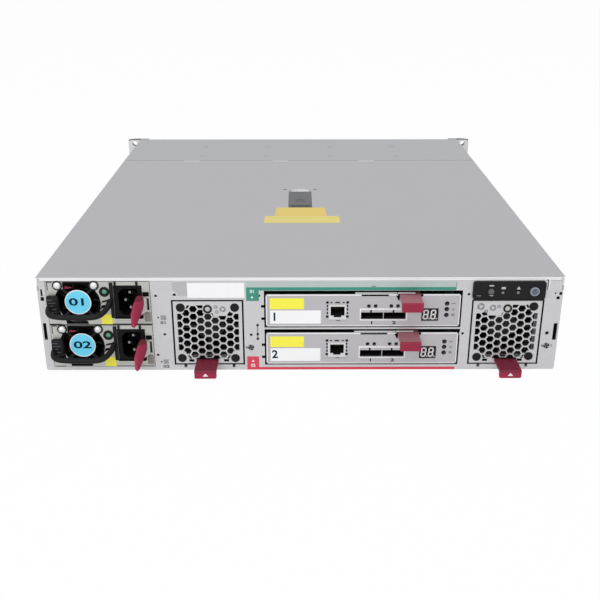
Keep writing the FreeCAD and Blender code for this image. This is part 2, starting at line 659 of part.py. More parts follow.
def build_psu_handle():
    """Moulded pull loop with a heavier left arm, fixed to the face."""
    body = new_body("psu_handle_body")
    left, right = size("handle_left"), size("handle_right")
    reach, bar = size("handle_reach"), size("handle_bar")
    low = size("handle_z") - size("handle_height") / 2
    outline = [(left, 0), (left, -reach + 8.0), (left + 2.4, -reach + 3.4), (left + 7.0, -reach),
               (right - 14.0, -reach), (right - 4.8, -reach + 5.0), (right - 0.6, -reach + 12.0), (right, 0),
               (right - bar, 0), (right - bar - 0.6, -reach + 13.0), (right - bar - 4.0, -reach + 8.6),
               (right - 15.6, -reach + bar), (left + 8.4, -reach + bar), (left + bar + 1.4, -reach + 7.4),
               (left + bar, -reach + 10.0), (left + bar, 0)]
    pad(body, "XY", low, size("handle_height"), outline)
    soften(body, "Fillet", 1.2, ALONG_X, lambda p: p.y < -reach.value + 0.01)
    grip = rectangle(left - 0.6, -size("grip_depth"), left + size("grip_width"), 0)
    pad(body, "XY", low, size("grip_height"), grip)
    return body


def build_fan_case(name, tab_x, icon_side):
    """Fan module: hexagon grille face, square duct and the plug at its inner end."""
    body = new_body(name)
    face, thick, depth = size("fan_face"), size("fan_face_sheet"), size("fan_depth")
    half, height = face / 2, face
    pad(body, "XZ", 0, thick, rectangle(-half, 0, half, height))
    across, pitch = size("hexagon"), size("hexagon_pitch")
    corner = across / math.sqrt(3.0)
    column = pitch * (math.sqrt(3.0) / 2)
    left = -column * 4
    low = height / 2 - pitch * 3.92

    def hexagon(u, v):
        return [(u + corner, v), (u + corner / 2, v + across / 2), (u - corner / 2, v + across / 2),
                (u - corner, v), (u - corner / 2, v - across / 2), (u + corner / 2, v - across / 2)]

    # Two interleaved sets of cells, each one cell repeated across and up the face.
    for u, v, count in ((left, low, 5), (left + column, low + pitch / 2, 4)):
        cell = pocket(body, "XZ", 0, thick, hexagon(u, v))
        grid = repeat(body, [cell], "X_Axis", count, column * 2)
        grid.Direction2 = (origin_part(body, "Z_Axis"), [""])
        grid.Mode2 = "Extent"
        bind(grid, "Length2", pitch * 7)
        grid.Occurrences2 = 8
        cell.Refine = grid.Refine = False

    # The face closes the cells again round the corner pads, the light, the printed marks and the edge.
    side, base = half - size("grille_edge"), size("grille_edge") + 1.0
    crown = height - size("grille_edge") - 0.5
    shoulder = height - 11.5
    pads = [(side - 9.5, base), (side - 5.4, base + 7.4), (side, base + 8.4), (side, shoulder)]
    corner_pad = [(side - 5.4, shoulder + 0.8), (side - 9.0, crown)]
    clear_marks = [(side - 4.4, shoulder), (side - 7.8, shoulder + 2.2), (side - 10.4, shoulder - 2.0),
                   (5.0, shoulder - 2.0)]
    light = [(4.2, crown), (4.2, shoulder + 0.6)]
    right = corner_pad + light if icon_side < 0 else clear_marks + light[1:]
    other = clear_marks + light[1:] if icon_side < 0 else corner_pad + light
    window = pads + right + [(-u, v) for u, v in reversed(pads + other)]
    tab_half = size("tab_width") / 2 + seat_gap
    slot = rectangle(tab_x - tab_half, size("tab_root") - 0.4, tab_x + tab_half,
                     size("tab_root") + size("tab_thick") + 1.6)
    pad(body, "XZ", 0, thick, rectangle(-half, 0, half, height), window)
    pocket(body, "XZ", 0, thick, slot, Circle(0, height - 7.0, 2.5))
    duct = size("fan_wall")
    pad(body, "XZ", thick, depth - thick, rectangle(-half, 0, half, height),
        rectangle(-half + duct, duct, half - duct, height - duct))
    pad(body, "XZ", depth - 6.0, 6.0, rectangle(-13.0, duct, 13.0, duct + 11.0))
    return body


def build_fan_frame(name):
    """Square frame of the axial fan inside a module, with its motor plate and struts."""
    body = new_body(name)
    middle = size("fan_face") / 2
    side = size("fan_face") - 2 * size("fan_wall")
    start = size("fan_frame_start")
    pad(body, "XZ", start, size("fan_frame_depth"), centred(0, middle, side, side),
        Circle(0, middle, size("fan_bore")))
    reach, strut = size("fan_bore") + 0.8, 1.8
    pad(body, "XZ", start, 3.0, Circle(0, middle, size("fan_hub")))
    pad(body, "XZ", start, 2.6, rectangle(-reach, middle - strut, -size("fan_hub") + 1.0, middle + strut),
        rectangle(size("fan_hub") - 1.0, middle - strut, reach, middle + strut),
        rectangle(-strut, middle + size("fan_hub") - 1.0, strut, middle + reach),
        rectangle(-strut, middle - reach, strut, middle - size("fan_hub") + 1.0))
    pocket(body, "XZ", start + 1.0, 2.0, Circle(0, middle, 1.5 + size("running_fit")))
    return body


def build_tab(name, width, reach, lip, pivot):
    """Release tab: a flat tongue on a cross pin, with a turned-down finger lip at its outer end."""
    body = new_body(name)
    thick = size("tab_thick")
    profile = [(-reach, -lip + thick), (-reach + thick, -lip + thick), (-reach + thick + 1.0, 0), (pivot, 0),
               (pivot, thick), (-reach + 0.6, thick), (-reach, thick - 0.6)]
    pad(body, "YZ", -width / 2, width, profile)
    edge = -reach.value + thick.value
    soften(body, "Fillet", 1.5, ALONG_Y, lambda p: p.y < edge and p.z < 0)
    return body


def build_io_tray():
    """Sheet metal tray of a module: its face with the port openings, floor and side walls."""
    body = new_body("io_tray_body")
    half, height, thick = size("io_width") / 2, size("io_height"), size("io_face_sheet")
    side = size("network_width") / 2 + slide_gap
    network = rectangle(size("network_x") - side, size("board_z") + size("board_thick") - slide_gap,
                        size("network_x") + side, size("network_z") + size("network_height") / 2 + slide_gap)
    ports = [centred(size("sas_left_x") + size("sas_pitch") * i, size("sas_z"), size("sas_width") + 1.0,
                     size("sas_height") + 1.0) for i in (0, 1)]
    display = centred(size("display_x"), size("display_z"), size("display_width"), size("display_height"))
    lights = [Circle(72.0, z, size("light_hole")) for z in (21.2, 16.0, 10.5)]
    lights += [Circle(x, 19.0, size("port_light_hole")) for x in (5.0, 10.8, 24.2, 30.0)]
    lever_half = size("io_lever_width") / 2 + 0.3
    lever = rectangle(size("io_lever_x") - lever_half, height - size("tab_thick") - 0.9,
                      size("io_lever_x") + lever_half, height)
    pad(body, "XZ", 0, thick, rectangle(-half, 0, half, height), network, *ports, display, *lights)
    corner = half.value - 0.01
    soften(body, "Fillet", size("io_corner"), ALONG_Y, lambda p: abs(p.x) > corner)
    pocket(body, "XZ", 0, thick, lever)
    side, floor = size("io_side_height"), size("io_wall")
    wall_x = half - size("io_corner") - 0.4
    channel = [(wall_x, 0), (wall_x, side), (wall_x - floor, side), (wall_x - floor, floor)]
    pad(body, "XZ", thick, size("io_depth") - thick - 8.0, mirrored(channel))
    return body


def build_io_board():
    """Circuit board of a module with its ports, display, cooler and midplane plugs as separate solids."""
    board = new_body("io_board_body")
    half = size("io_width") / 2 - size("io_corner") - 0.4 - size("io_wall") - 0.4
    low, thick = size("board_z"), size("board_thick")
    high = low + thick
    face = size("io_face_sheet")
    pad(board, "XY", low, thick, rectangle(-half, face + 1.0, half, size("io_depth") - 9.0))
    posts = [Circle(x, y, 3.0) for x in (-60.0, 60.0) for y in (60.0, 200.0, 350.0)]
    pad(board, "XY", size("io_wall"), low - size("io_wall"), *posts)
    network = new_body("network_port_body")
    x, z = size("network_x"), size("network_z")
    wide, tall = size("network_width"), size("network_height")
    pad(network, "XZ", 0.2, 21.0, rectangle(x - wide / 2, high, x + wide / 2, z + tall / 2))
    mouth = [(x - 6.0, z - 3.6), (x - 3.2, z - 3.6), (x - 3.2, z - 5.2), (x + 3.2, z - 5.2),
             (x + 3.2, z - 3.6), (x + 6.0, z - 3.6), (x + 6.0, z + 4.8), (x - 6.0, z + 4.8)]
    pocket(network, "XZ", 0.2, 16.0, mouth)
    ports = new_body("sas_ports_body")
    x0 = size("sas_left_x") - size("sas_width") / 2 - 1.0
    x1 = size("sas_left_x") + size("sas_pitch") + size("sas_width") / 2 + 1.0
    z, tall = size("sas_z"), size("sas_height")
    pad(ports, "XZ", face + 0.2, size("sas_depth") + 6.0, rectangle(x0, high, x1, z + tall / 2 + 3.0))
    centres = [size("sas_left_x") + size("sas_pitch") * i for i in (0, 1)]
    pocket(ports, "XZ", face + 0.2, size("sas_depth"),
           *[centred(x, z, size("sas_width"), tall) for x in centres])
    pad(ports, "XZ", face + 7.0, size("sas_depth") - 6.0,
        *[centred(x, z, size("sas_width") - 4.0, 1.2) for x in centres])
    display = new_body("display_body")
    x, z = size("display_x"), size("display_z")
    pad(display, "XZ", 0.3, 8.0, rectangle(x - size("display_width") / 2 + 0.2, high,
                                           x + size("display_width") / 2 - 0.2,
                                           z + size("display_height") / 2 - 0.2))
    cooler = new_body("cooler_body")
    pad(cooler, "XY", high, 3.0, rectangle(-40.0, 150.0, 10.0, 200.0))
    fin = pad(cooler, "XY", high + 3.0, 10.0, rectangle(-40.0, 150.0, -38.4, 200.0))
    repeat(cooler, [fin], "X_Axis", 9, read(6.05))
    plugs = new_body("io_plugs_body")
    pad(plugs, "XY", high, 9.0, *[rectangle(side - 31.0, size("io_depth") - 22.0, side + 31.0, size("io_depth"))
                                  for side in (-40.0, 40.0)])
    return [board, network, ports, display, cooler, plugs]


def build_power_panel():
    """Black button panel: a face that overlaps the rear panel, and the block behind it."""
    body = new_body("power_panel_body")
    left, low = size("panel_left"), size("panel_bottom")
    right, high = left + size("panel_width"), low + size("panel_height")
    proud = rear - size("panel_proud")
    power = [Circle(size("power_x"), size("button_z"), size("power_radius") + size("button_fit")),
             Circle(size("locate_x"), size("button_z"), size("locate_radius") + size("button_fit"))]
    pad(body, "XZ", proud, size("panel_proud"), rectangle(left, low, right, high), *power)
    sides = (left.value + 0.01, right.value - 0.01)
    soften(body, "Fillet", 2.4, ALONG_Y, lambda p: p.x < sides[0] or p.x > sides[1])
    collar = size("button_collar") + size("button_fit") * 2
    wells = [Circle(size("power_x"), size("button_z"), size("power_radius") + collar),
             Circle(size("locate_x"), size("button_z"), size("locate_radius") + collar)]
    pad(body, "XZ", rear, size("panel_depth"), panel_hole(0), *wells)
    return body


def build_button(name, x, radius):
    """Push button with the collar that keeps it behind the panel's face."""
    body = new_body(name)
    proud = rear - size("panel_proud") - size("button_proud")
    z = size("button_z")
    shoulder = rear + size("seat_gap")
    pad(body, "XZ", proud, shoulder - proud, Circle(x, z, radius))
    pad(body, "XZ", shoulder, size("panel_depth") - seat_gap - size("button_travel") - 1.0,
        Circle(x, z, radius + size("button_collar")))
    return body


def build_carrier():
    """Drive carrier: vented bezel and the two rails that hold the disk by its edges."""
    body = new_body("carrier_body")
    wide, tall = size("carrier_width"), size("carrier_height")
    bezel_back = size("bezel_front") - size("bezel_depth")
    pad(body, "XZ", bezel_back, size("bezel_depth"), rectangle(-wide / 2, 0, wide / 2, tall))
    edge = wide.value / 2 - 0.01
    soften(body, "Chamfer", 0.8, ALONG_Y, lambda p: abs(p.x) > edge)
    vents = [rectangle(-wide / 2 + 2.4, z, wide / 2 - 2.4, z + 4.2) for z in (60.0, 66.4, 72.8)]
    pocket(body, "XZ", bezel_back, size("bezel_depth"), *vents)
    pocket(body, "XZ", size("bezel_front") - 4.0, 4.0, rectangle(-wide / 2 + 1.8, 5.0, wide / 2 - 1.8, 56.0))
    rail = (tall - size("disk_height")) / 2
    start = size("midplane_face") + size("connector_reach") + seat_gap
    half = size("disk_width") / 2 - 0.4
    pad(body, "XZ", start, bezel_back - start, rectangle(-half, 0, half, rail),
        rectangle(-half, tall - rail, half, tall))
    return body


def build_disk():
    """Two and a half inch disk, standing on its long edge."""
    body = new_body("disk_body")
    low = (size("carrier_height") - size("disk_height")) / 2
    half = size("disk_width") / 2
    start = size("midplane_face") + size("connector_reach") + seat_gap
    pad(body, "XZ", start, size("disk_length"), rectangle(-half, low, half, low + size("disk_height")))
    return body


def build_carrier_lever():
    """Ejector lever in the bezel's recess, with its release button below."""
    body = new_body("carrier_lever_body")
    half = size("carrier_width") / 2 - 2.1
    start = size("bezel_front") - 4.0
    pad(body, "XZ", start, 3.6, rectangle(-half, 17.0, half, 55.7), rectangle(-half, 5.3, half, 16.4))
    pocket(body, "XZ", start + 2.2, 1.4, rectangle(-half + 1.6, 44.0, half - 1.6, 53.0))
    return body


def main():
    node("base_pan", [build_base_pan()])
    node("rear_panel", [build_rear_panel()])
    node("bay_frame", [build_bay_frame()])
    node("drive_cage", [build_drive_cage()])
    boards = [build_midplane(), build_power_board(), build_fan_board(size("fan_1_x"), "fan_board_1_body"),
              build_fan_board(size("fan_2_x"), "fan_board_2_body")]
    node("midplane_boards", boards)
    ears = []
    for side, name in ((-1, "left"), (1, "right")):
        ears += [build_ear(side, f"ear_{name}_body"), build_ear_cap(side, f"ear_cap_{name}_body")]
    node("rack_ears", ears)
    node("power_panel", [build_power_panel()])
    node("power_button", [build_button("power_button_body", size("power_x"), size("power_radius"))])
    node("locate_button", [build_button("locate_button_body", size("locate_x"), size("locate_radius"))])
    node("top_cover", [build_top_cover()])
    node("cover_latch", [build_cover_latch()])

    psu_fan_start = size("psu_wall")
    psu_parts = {"case": build_psu_case(), "fan_frame": build_psu_fan_frame(), "inlet": build_psu_inlet(),
                 "lever": build_psu_lever(), "handle": build_psu_handle()}
    psu_rotor = build_rotor("psu_rotor_body", size("psu_hub") - 1.0, size("psu_fan_bore") - 1.7,
                            psu_fan_start + 2.4 + seat_gap, size("psu_fan_depth") - 4.0, 7, psu_fan_start + 1.2)
    for number, z in ((1, psu_upper), (2, psu_lower)):
        for name, piece in psu_parts.items():
            node(f"psu_{number}_{name}", [piece], psu_x, rear, z)
        node(f"psu_{number}_rotor", [psu_rotor], psu_x + size("psu_fan_x"), rear, z + size("psu_fan_z"))

    frame = build_fan_frame("fan_frame_body")
    start = size("fan_frame_start")
    rotor = build_rotor("fan_rotor_body", size("fan_hub") - 0.5, size("fan_bore") - 1.7,
                        start + 3.0 + seat_gap, size("fan_frame_depth") - 5.0, 7, start + 1.2)
    tab = build_tab("fan_tab_body", size("tab_width"), size("tab_reach"), size("tab_lip"), size("tab_pivot"))
    for number, x, tab_x, icon_side in ((1, size("fan_1_x"), size("tab_1_x"), 1),
                                        (2, size("fan_2_x"), size("tab_2_x"), -1)):
        case = build_fan_case(f"fan_case_{number}_body", tab_x, icon_side)
        node(f"fan_module_{number}", [case, frame], x, rear, size("fan_z"))
        node(f"fan_rotor_{number}", [rotor], x, rear, size("fan_z") + size("fan_face") / 2)
        node(f"fan_tab_{number}", [tab], x + tab_x, rear, size("fan_z") + size("tab_root"))

    tray = build_io_tray()
    board = build_io_board()
    lever = build_tab("io_lever_body", size("io_lever_width"), size("io_lever_reach"), size("io_lever_lip"),
                      size("tab_pivot"))
    for letter, z in (("a", io_upper), ("b", size("io_lower_z"))):
        node(f"io_{letter}_tray", [tray], io_x, rear, z)
        node(f"io_{letter}_board", board, io_x, rear, z)
        node(f"io_{letter}_lever", [lever], io_x + size("io_lever_x"), rear,
             z + size("io_height") - size("tab_thick") - 0.5)

    drive = [build_carrier(), build_disk(), build_carrier_lever()]
    for number, x in enumerate(bay_centres, start=1):
        node(f"drive_{number:02d}", drive, x, 0, carrier_bottom)

    document.recompute()
    broken = [item.Name for item in document.Objects if "Invalid" in item.State or "Error" in item.State]
    broken += [cut.Name for base, cut in cuts if cut.Shape.Volume > base.Shape.Volume - 1e-3]
    for item in nodes:
        if item.Shape.isNull() or not item.Shape.isValid() or not item.Shape.Solids:
            broken.append(item.Label)
    if broken:
        raise SystemExit("broken: " + ", ".join(broken))
    os.makedirs("parts", exist_ok=True)
    for item in nodes:
        item.Shape.exportStep(f"parts/{item.Label}.step")
    print(len(nodes), "nodes,", sum(len(item.Shape.Solids) for item in nodes), "solids")


main()
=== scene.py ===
"""Disk shelf enclosure seen from behind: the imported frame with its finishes, fittings, labels and lights."""
import math

import bmesh
import bpy
from mathutils import Euler, Matrix, Vector


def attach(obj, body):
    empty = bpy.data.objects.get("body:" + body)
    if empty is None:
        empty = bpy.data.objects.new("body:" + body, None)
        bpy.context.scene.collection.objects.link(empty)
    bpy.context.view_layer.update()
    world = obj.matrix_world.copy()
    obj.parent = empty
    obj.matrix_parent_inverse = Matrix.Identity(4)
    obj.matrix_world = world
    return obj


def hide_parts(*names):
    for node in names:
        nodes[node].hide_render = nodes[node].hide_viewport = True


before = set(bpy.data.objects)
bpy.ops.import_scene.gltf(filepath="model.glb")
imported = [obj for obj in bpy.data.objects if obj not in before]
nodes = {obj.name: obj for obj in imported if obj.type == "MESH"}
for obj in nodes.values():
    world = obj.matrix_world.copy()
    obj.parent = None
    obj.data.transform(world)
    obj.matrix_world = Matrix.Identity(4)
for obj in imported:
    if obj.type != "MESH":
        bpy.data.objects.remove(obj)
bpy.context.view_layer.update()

# The studio is a white floor that keeps a faint shadow, a white surround and two soft lamps.
# The camera stands where the photograph's did, behind the shelf and above it.
scene = bpy.context.scene
scene.view_settings.view_transform = "Standard"

camera_data = bpy.data.cameras.new("camera")
camera_data.lens = 51.70
camera_data.sensor_width = 36.0
camera = bpy.data.objects.new("camera", camera_data)
camera.location = (-0.00379, -0.94749, 0.35293)
camera.rotation_euler = Euler((math.radians(67.13), 0.0, math.radians(-0.27)))
scene.collection.objects.link(camera)
scene.camera = camera


def seen_rays(tree):
    """One where a camera, mirror or glass ray looks, nought where light bounces."""
    path = tree.nodes.new("ShaderNodeLightPath")
    found = path.outputs["Is Camera Ray"]
    for name in ("Is Glossy Ray", "Is Transmission Ray"):
        more = tree.nodes.new("ShaderNodeMath")
        more.operation = "MAXIMUM"
        tree.links.new(found, more.inputs[0])
        tree.links.new(path.outputs[name], more.inputs[1])
        found = more.outputs[0]
    return found


FILL_STRENGTH = 0.5
world = bpy.data.worlds.new("surround")
world.use_nodes = True
scene.world = world
tree = world.node_tree
fill = tree.nodes["Background"]
fill.inputs["Color"].default_value = (1.0, 1.0, 1.0, 1.0)
fill.inputs["Strength"].default_value = FILL_STRENGTH
white = tree.nodes.new("ShaderNodeBackground")
white.inputs["Color"].default_value = (1.0, 1.0, 1.0, 1.0)
either = tree.nodes.new("ShaderNodeMixShader")
tree.links.new(seen_rays(tree), either.inputs["Fac"])
tree.links.new(fill.outputs[0], either.inputs[1])
tree.links.new(white.outputs[0], either.inputs[2])
tree.links.new(either.outputs[0], tree.nodes["World Output"].inputs["Surface"])

FLOOR_SIZE = 12.0
FLOOR_WHITE = 0.97
bm = bmesh.new()
bmesh.ops.create_grid(bm, x_segments=1, y_segments=1, size=FLOOR_SIZE / 2)
floor_mesh = bpy.data.meshes.new("floor")
bm.to_mesh(floor_mesh)
bm.free()
floor = bpy.data.objects.new("floor", floor_mesh)
scene.collection.objects.link(floor)
floor_paint = bpy.data.materials.new("white floor")
floor_paint.use_nodes = True
tree = floor_paint.node_tree
matt = tree.nodes["Principled BSDF"]
matt.inputs["Base Color"].default_value = (0.9, 0.9, 0.9, 1.0)
matt.inputs["Roughness"].default_value = 1.0
matt.inputs["Specular IOR Level"].default_value = 0.0
glow = tree.nodes.new("ShaderNodeEmission")
share = tree.nodes.new("ShaderNodeMath")
share.operation = "MULTIPLY"
share.inputs[1].default_value = FLOOR_WHITE
tree.links.new(seen_rays(tree), share.inputs[0])
either = tree.nodes.new("ShaderNodeMixShader")
tree.links.new(share.outputs[0], either.inputs["Fac"])
tree.links.new(matt.outputs[0], either.inputs[1])
tree.links.new(glow.outputs[0], either.inputs[2])
tree.links.new(either.outputs[0], tree.nodes["Material Output"].inputs["Surface"])
floor_mesh.materials.append(floor_paint)

for name, place, power, width in (("key lamp", (-0.7, -1.9, 1.3), 21.0, 1.6),
                                  ("top lamp", (0.5, -0.2, 2.2), 11.0, 2.0)):
    lamp_data = bpy.data.lights.new(name, "AREA")
    lamp_data.energy = power
    lamp_data.size = width
    lamp = bpy.data.objects.new(name, lamp_data)
    lamp.location = place
    lamp.rotation_euler = (-Vector(place)).to_track_quat("-Z", "Y").to_euler()
    scene.collection.objects.link(lamp)

# The chassis is folded from zinc-plated sheet steel: a base pan, the rear panel with its module
# openings, and inside them the guide walls. The plating shows a fine rolled grain and soft blotches.
# Heights, places and sizes are in millimetres from here on, and a piece turns them into metres.
MM = 0.001
REAR = -269.0
TOP = 87.9
BLOTCH_SCALE = 11.0
RELIEF = 0.0002
FAR_OFF = 9.0


def paint(red, green, blue):
    """A colour as a screen shows it, 0 to 255, turned into the light that it reflects."""
    return tuple(((c / 255 + 0.055) / 1.055) ** 2.4 for c in (red, green, blue)) + (1.0,)


def effect(name, inputs, outputs):
    """An empty shader node group with its sockets; gives the group and its two end nodes."""
    group = bpy.data.node_groups.new(name, "ShaderNodeTree")
    for in_out, sockets in (("INPUT", inputs), ("OUTPUT", outputs)):
        for label, kind in sockets:
            group.interface.new_socket(label, in_out=in_out, socket_type="NodeSocket" + kind)
    return group, group.nodes.new("NodeGroupInput"), group.nodes.new("NodeGroupOutput")


def step(tree, kind, operation, *values):
    """A math node fed with sockets or numbers; gives its first output."""
    node = tree.nodes.new(kind)
    node.operation = operation
    for socket, value in zip(node.inputs, values):
        if isinstance(value, bpy.types.NodeSocket):
            tree.links.new(value, socket)
        else:
            socket.default_value = value
    return node.outputs[0]


def rolled_grain():
    """Fine stretched grain and soft blotches over a colour and a roughness."""
    group, start, end = effect(
        "rolled grain",
        [("Place", "Vector"), ("Stretch", "Vector"), ("Scale", "Float"), ("Grain", "Float"),
         ("Blotch", "Float"), ("Colour", "Color"), ("Roughness", "Float")],
        [("Colour", "Color"), ("Roughness", "Float"), ("Height", "Float")])
    along = step(group, "ShaderNodeVectorMath", "MULTIPLY", start.outputs["Place"], start.outputs["Stretch"])
    noises = []
    for place, scale in ((along, start.outputs["Scale"]), (start.outputs["Place"], BLOTCH_SCALE)):
        noise = group.nodes.new("ShaderNodeTexNoise")
        group.links.new(place, noise.inputs["Vector"])
        if isinstance(scale, float):
            noise.inputs["Scale"].default_value = scale
        else:
            group.links.new(scale, noise.inputs["Scale"])
        noise.inputs["Detail"].default_value = 3.0
        noises.append(step(group, "ShaderNodeMath", "SUBTRACT", noise.outputs[0], 0.5))
    fine = step(group, "ShaderNodeMath", "MULTIPLY", noises[0], start.outputs["Grain"])
    soft = step(group, "ShaderNodeMath", "MULTIPLY", noises[1], start.outputs["Blotch"])
    both = step(group, "ShaderNodeMath", "ADD", fine, soft)
    tone = step(group, "ShaderNodeMath", "ADD", both, 1.0)
    tinted = group.nodes.new("ShaderNodeVectorMath")
    tinted.operation = "SCALE"
    group.links.new(start.outputs["Colour"], tinted.inputs[0])
    group.links.new(tone, tinted.inputs["Scale"])
    group.links.new(tinted.outputs[0], end.inputs["Colour"])
    rough = step(group, "ShaderNodeMath", "ADD", start.outputs["Roughness"], both)
    group.links.new(rough, end.inputs["Roughness"])
    group.links.new(noises[0], end.inputs["Height"])
    return group


def inside_box():
    """One inside an upright box, nought outside it."""
    group, start, end = effect("inside box", [("Place", "Vector"), ("Centre", "Vector"), ("Half", "Vector")],
                               [("Mask", "Float")])
    off = step(group, "ShaderNodeVectorMath", "SUBTRACT", start.outputs["Place"], start.outputs["Centre"])
    off = step(group, "ShaderNodeVectorMath", "ABSOLUTE", off)
    off = step(group, "ShaderNodeVectorMath", "SUBTRACT", off, start.outputs["Half"])
    parts = group.nodes.new("ShaderNodeSeparateXYZ")
    group.links.new(off, parts.inputs[0])
    most = step(group, "ShaderNodeMath", "MAXIMUM", parts.outputs[0], parts.outputs[1])
    most = step(group, "ShaderNodeMath", "MAXIMUM", most, parts.outputs[2])
    group.links.new(step(group, "ShaderNodeMath", "LESS_THAN", most, 0.0), end.inputs["Mask"])
    return group


ROLLED_GRAIN = rolled_grain()
INSIDE_BOX = inside_box()
# A mix node's two inputs and its output, for colours and for values.
COLOUR_SOCKETS = (6, 7, 2)
VALUE_SOCKETS = (2, 3, 0)


def finish(name, colour, roughness, metallic=0.0, stretch=(1.0, 1.0, 1.0), scale=500.0, grain=0.1,
           blotch=0.08, bump=0.05, coat=0.0, gloss=0.5, regions=(), pitch=0.0):
    """A material with a grain. Regions are boxes in millimetres with a colour, roughness and metal of
    their own; with a pitch, they repeat along X."""
    material = bpy.data.materials.new(name)
    material.use_nodes = True
    tree = material.node_tree
    shader = tree.nodes["Principled BSDF"]
    place = tree.nodes.new("ShaderNodeTexCoord").outputs["Object"]
    surface = tree.nodes.new("ShaderNodeGroup")
    surface.node_tree = ROLLED_GRAIN
    tree.links.new(place, surface.inputs["Place"])
    for label, value in (("Stretch", stretch), ("Scale", scale), ("Grain", grain), ("Blotch", blotch),
                         ("Colour", paint(*colour)), ("Roughness", roughness)):
        surface.inputs[label].default_value = value
    shader.inputs["Metallic"].default_value = metallic
    shader.inputs["Coat Weight"].default_value = coat
    shader.inputs["Specular IOR Level"].default_value = gloss
    found = {"Colour": None, "Roughness": None, "Metallic": None}
    if pitch:
        place = step(tree, "ShaderNodeVectorMath", "WRAP", place, (pitch / 2 * MM, FAR_OFF, FAR_OFF),
                     (-pitch / 2 * MM, -FAR_OFF, -FAR_OFF))
    for low, high, own_colour, own_roughness, own_metallic in regions:
        low, high = Vector(low) * MM, Vector(high) * MM
        box = tree.nodes.new("ShaderNodeGroup")
        box.node_tree = INSIDE_BOX
        tree.links.new(place, box.inputs["Place"])
        box.inputs["Centre"].default_value = (low + high) / 2
        box.inputs["Half"].default_value = (high - low) / 2
        for label, base, own in (("Colour", paint(*colour), paint(*own_colour)),
                                 ("Roughness", roughness, own_roughness),
                                 ("Metallic", metallic, own_metallic)):
            mix = tree.nodes.new("ShaderNodeMix")
            mix.data_type = "RGBA" if label == "Colour" else "FLOAT"
            first, second, out = COLOUR_SOCKETS if label == "Colour" else VALUE_SOCKETS
            tree.links.new(box.outputs["Mask"], mix.inputs[0])
            if found[label]:
                tree.links.new(found[label], mix.inputs[first])
            else:
                mix.inputs[first].default_value = base
            mix.inputs[second].default_value = own
            found[label] = mix.outputs[out]
    for label, socket in (("Colour", surface.inputs["Colour"]), ("Roughness", surface.inputs["Roughness"]),
                          ("Metallic", shader.inputs["Metallic"])):
        if found[label]:
            tree.links.new(found[label], socket)
    tree.links.new(surface.outputs["Colour"], shader.inputs["Base Color"])
    tree.links.new(surface.outputs["Roughness"], shader.inputs["Roughness"])
    relief = tree.nodes.new("ShaderNodeBump")
    relief.inputs["Strength"].default_value = bump
    relief.inputs["Distance"].default_value = RELIEF
    tree.links.new(surface.outputs["Height"], relief.inputs["Height"])
    tree.links.new(relief.outputs[0], shader.inputs["Normal"])
    return material


def dress(material, *names):
    """Give nodes of the frame a finish."""
    for name in names:
        for slot in nodes[name].material_slots:
            slot.material = material


SHARP_EDGE = math.radians(38)


def piece(name, bm, material, body):
    """Make an object of a mesh drawn in millimetres, on the body that carries it."""
    bmesh.ops.recalc_face_normals(bm, faces=bm.faces)
    bmesh.ops.scale(bm, vec=(MM, MM, MM), verts=bm.verts)
    mesh = bpy.data.meshes.new(name)
    bm.to_mesh(mesh)
    bm.free()
    mesh.shade_smooth()
    mesh.set_sharp_from_angle(angle=SHARP_EDGE)
    mesh.materials.append(material)
    made = bpy.data.objects.new(name, mesh)
    scene.collection.objects.link(made)
    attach(made, body)
    return made


def block(bm, low, high, bevel=0.0):
    """A bar between two corners, with its edges bevelled."""
    low, high = Vector(low), Vector(high)
    made = bmesh.ops.create_cube(bm, size=1.0, matrix=Matrix.LocRotScale((low + high) / 2, None, high - low))
    if bevel:
        edges = list({edge for vert in made["verts"] for edge in vert.link_edges})
        bmesh.ops.bevel(bm, geom=edges, offset=bevel, affect="EDGES", segments=2, profile=0.5, material=-1)


ROUND_SIDES = 28
TOUCHING = 0.0005


def disc(bm, x, z, radius, near, far):
    """A short round bar along Y."""
    turn = Matrix.Translation((x, (near + far) / 2, z)) @ Matrix.Rotation(math.radians(90), 4, "X")
    bmesh.ops.create_cone(bm, cap_ends=True, segments=ROUND_SIDES, radius1=radius, radius2=radius,
                          depth=far - near, matrix=turn)


def spun(bm, x, z, profile, closed=False):
    """A shape turned about a line along Y; the profile is radius and Y."""
    verts = [bm.verts.new((x + radius, y, z)) for radius, y in profile]
    ends = verts[1:] + verts[:1] if closed else verts[1:]
    edges = [bm.edges.new(pair) for pair in zip(verts, ends)]
    bmesh.ops.spin(bm, geom=verts + edges, cent=(x, 0.0, z), axis=(0.0, 1.0, 0.0), angle=math.tau,
                   steps=ROUND_SIDES, use_merge=True)
    bmesh.ops.remove_doubles(bm, verts=bm.verts, dist=TOUCHING)


def ring(bm, x, z, inner, outer, near, far):
    """A flat ring about a line along Y."""
    spun(bm, x, z, [(inner, far), (inner, near), (outer, near), (outer, far)], closed=True)


def cut_out(bm, outline, near, far):
    """A flat outline of X and Z, as thick as from near to far along Y."""
    face = bm.faces.new([bm.verts.new((x, far, z)) for x, z in outline])
    made = bmesh.ops.extrude_face_region(bm, geom=[face])
    verts = [item for item in made["geom"] if isinstance(item, bmesh.types.BMVert)]
    bmesh.ops.translate(bm, vec=(0.0, near - far, 0.0), verts=verts)


def box_outline(x0, z0, x1, z1):
    """The corners of a rectangle, from its lowest to its highest."""
    return [(x0, z0), (x1, z0), (x1, z1), (x0, z1)]


PRINT = 0.12
CAP_SHARE = 0.7
BOLD_SHARE = 0.035


def film(name, outlines, material, body, y=REAR, thick=PRINT):
    """Printed or stuck-on flat shapes on a face that looks to the rear."""
    bm = bmesh.new()
    for outline in outlines:
        cut_out(bm, outline, y - thick, y)
    return piece(name, bm, material, body)


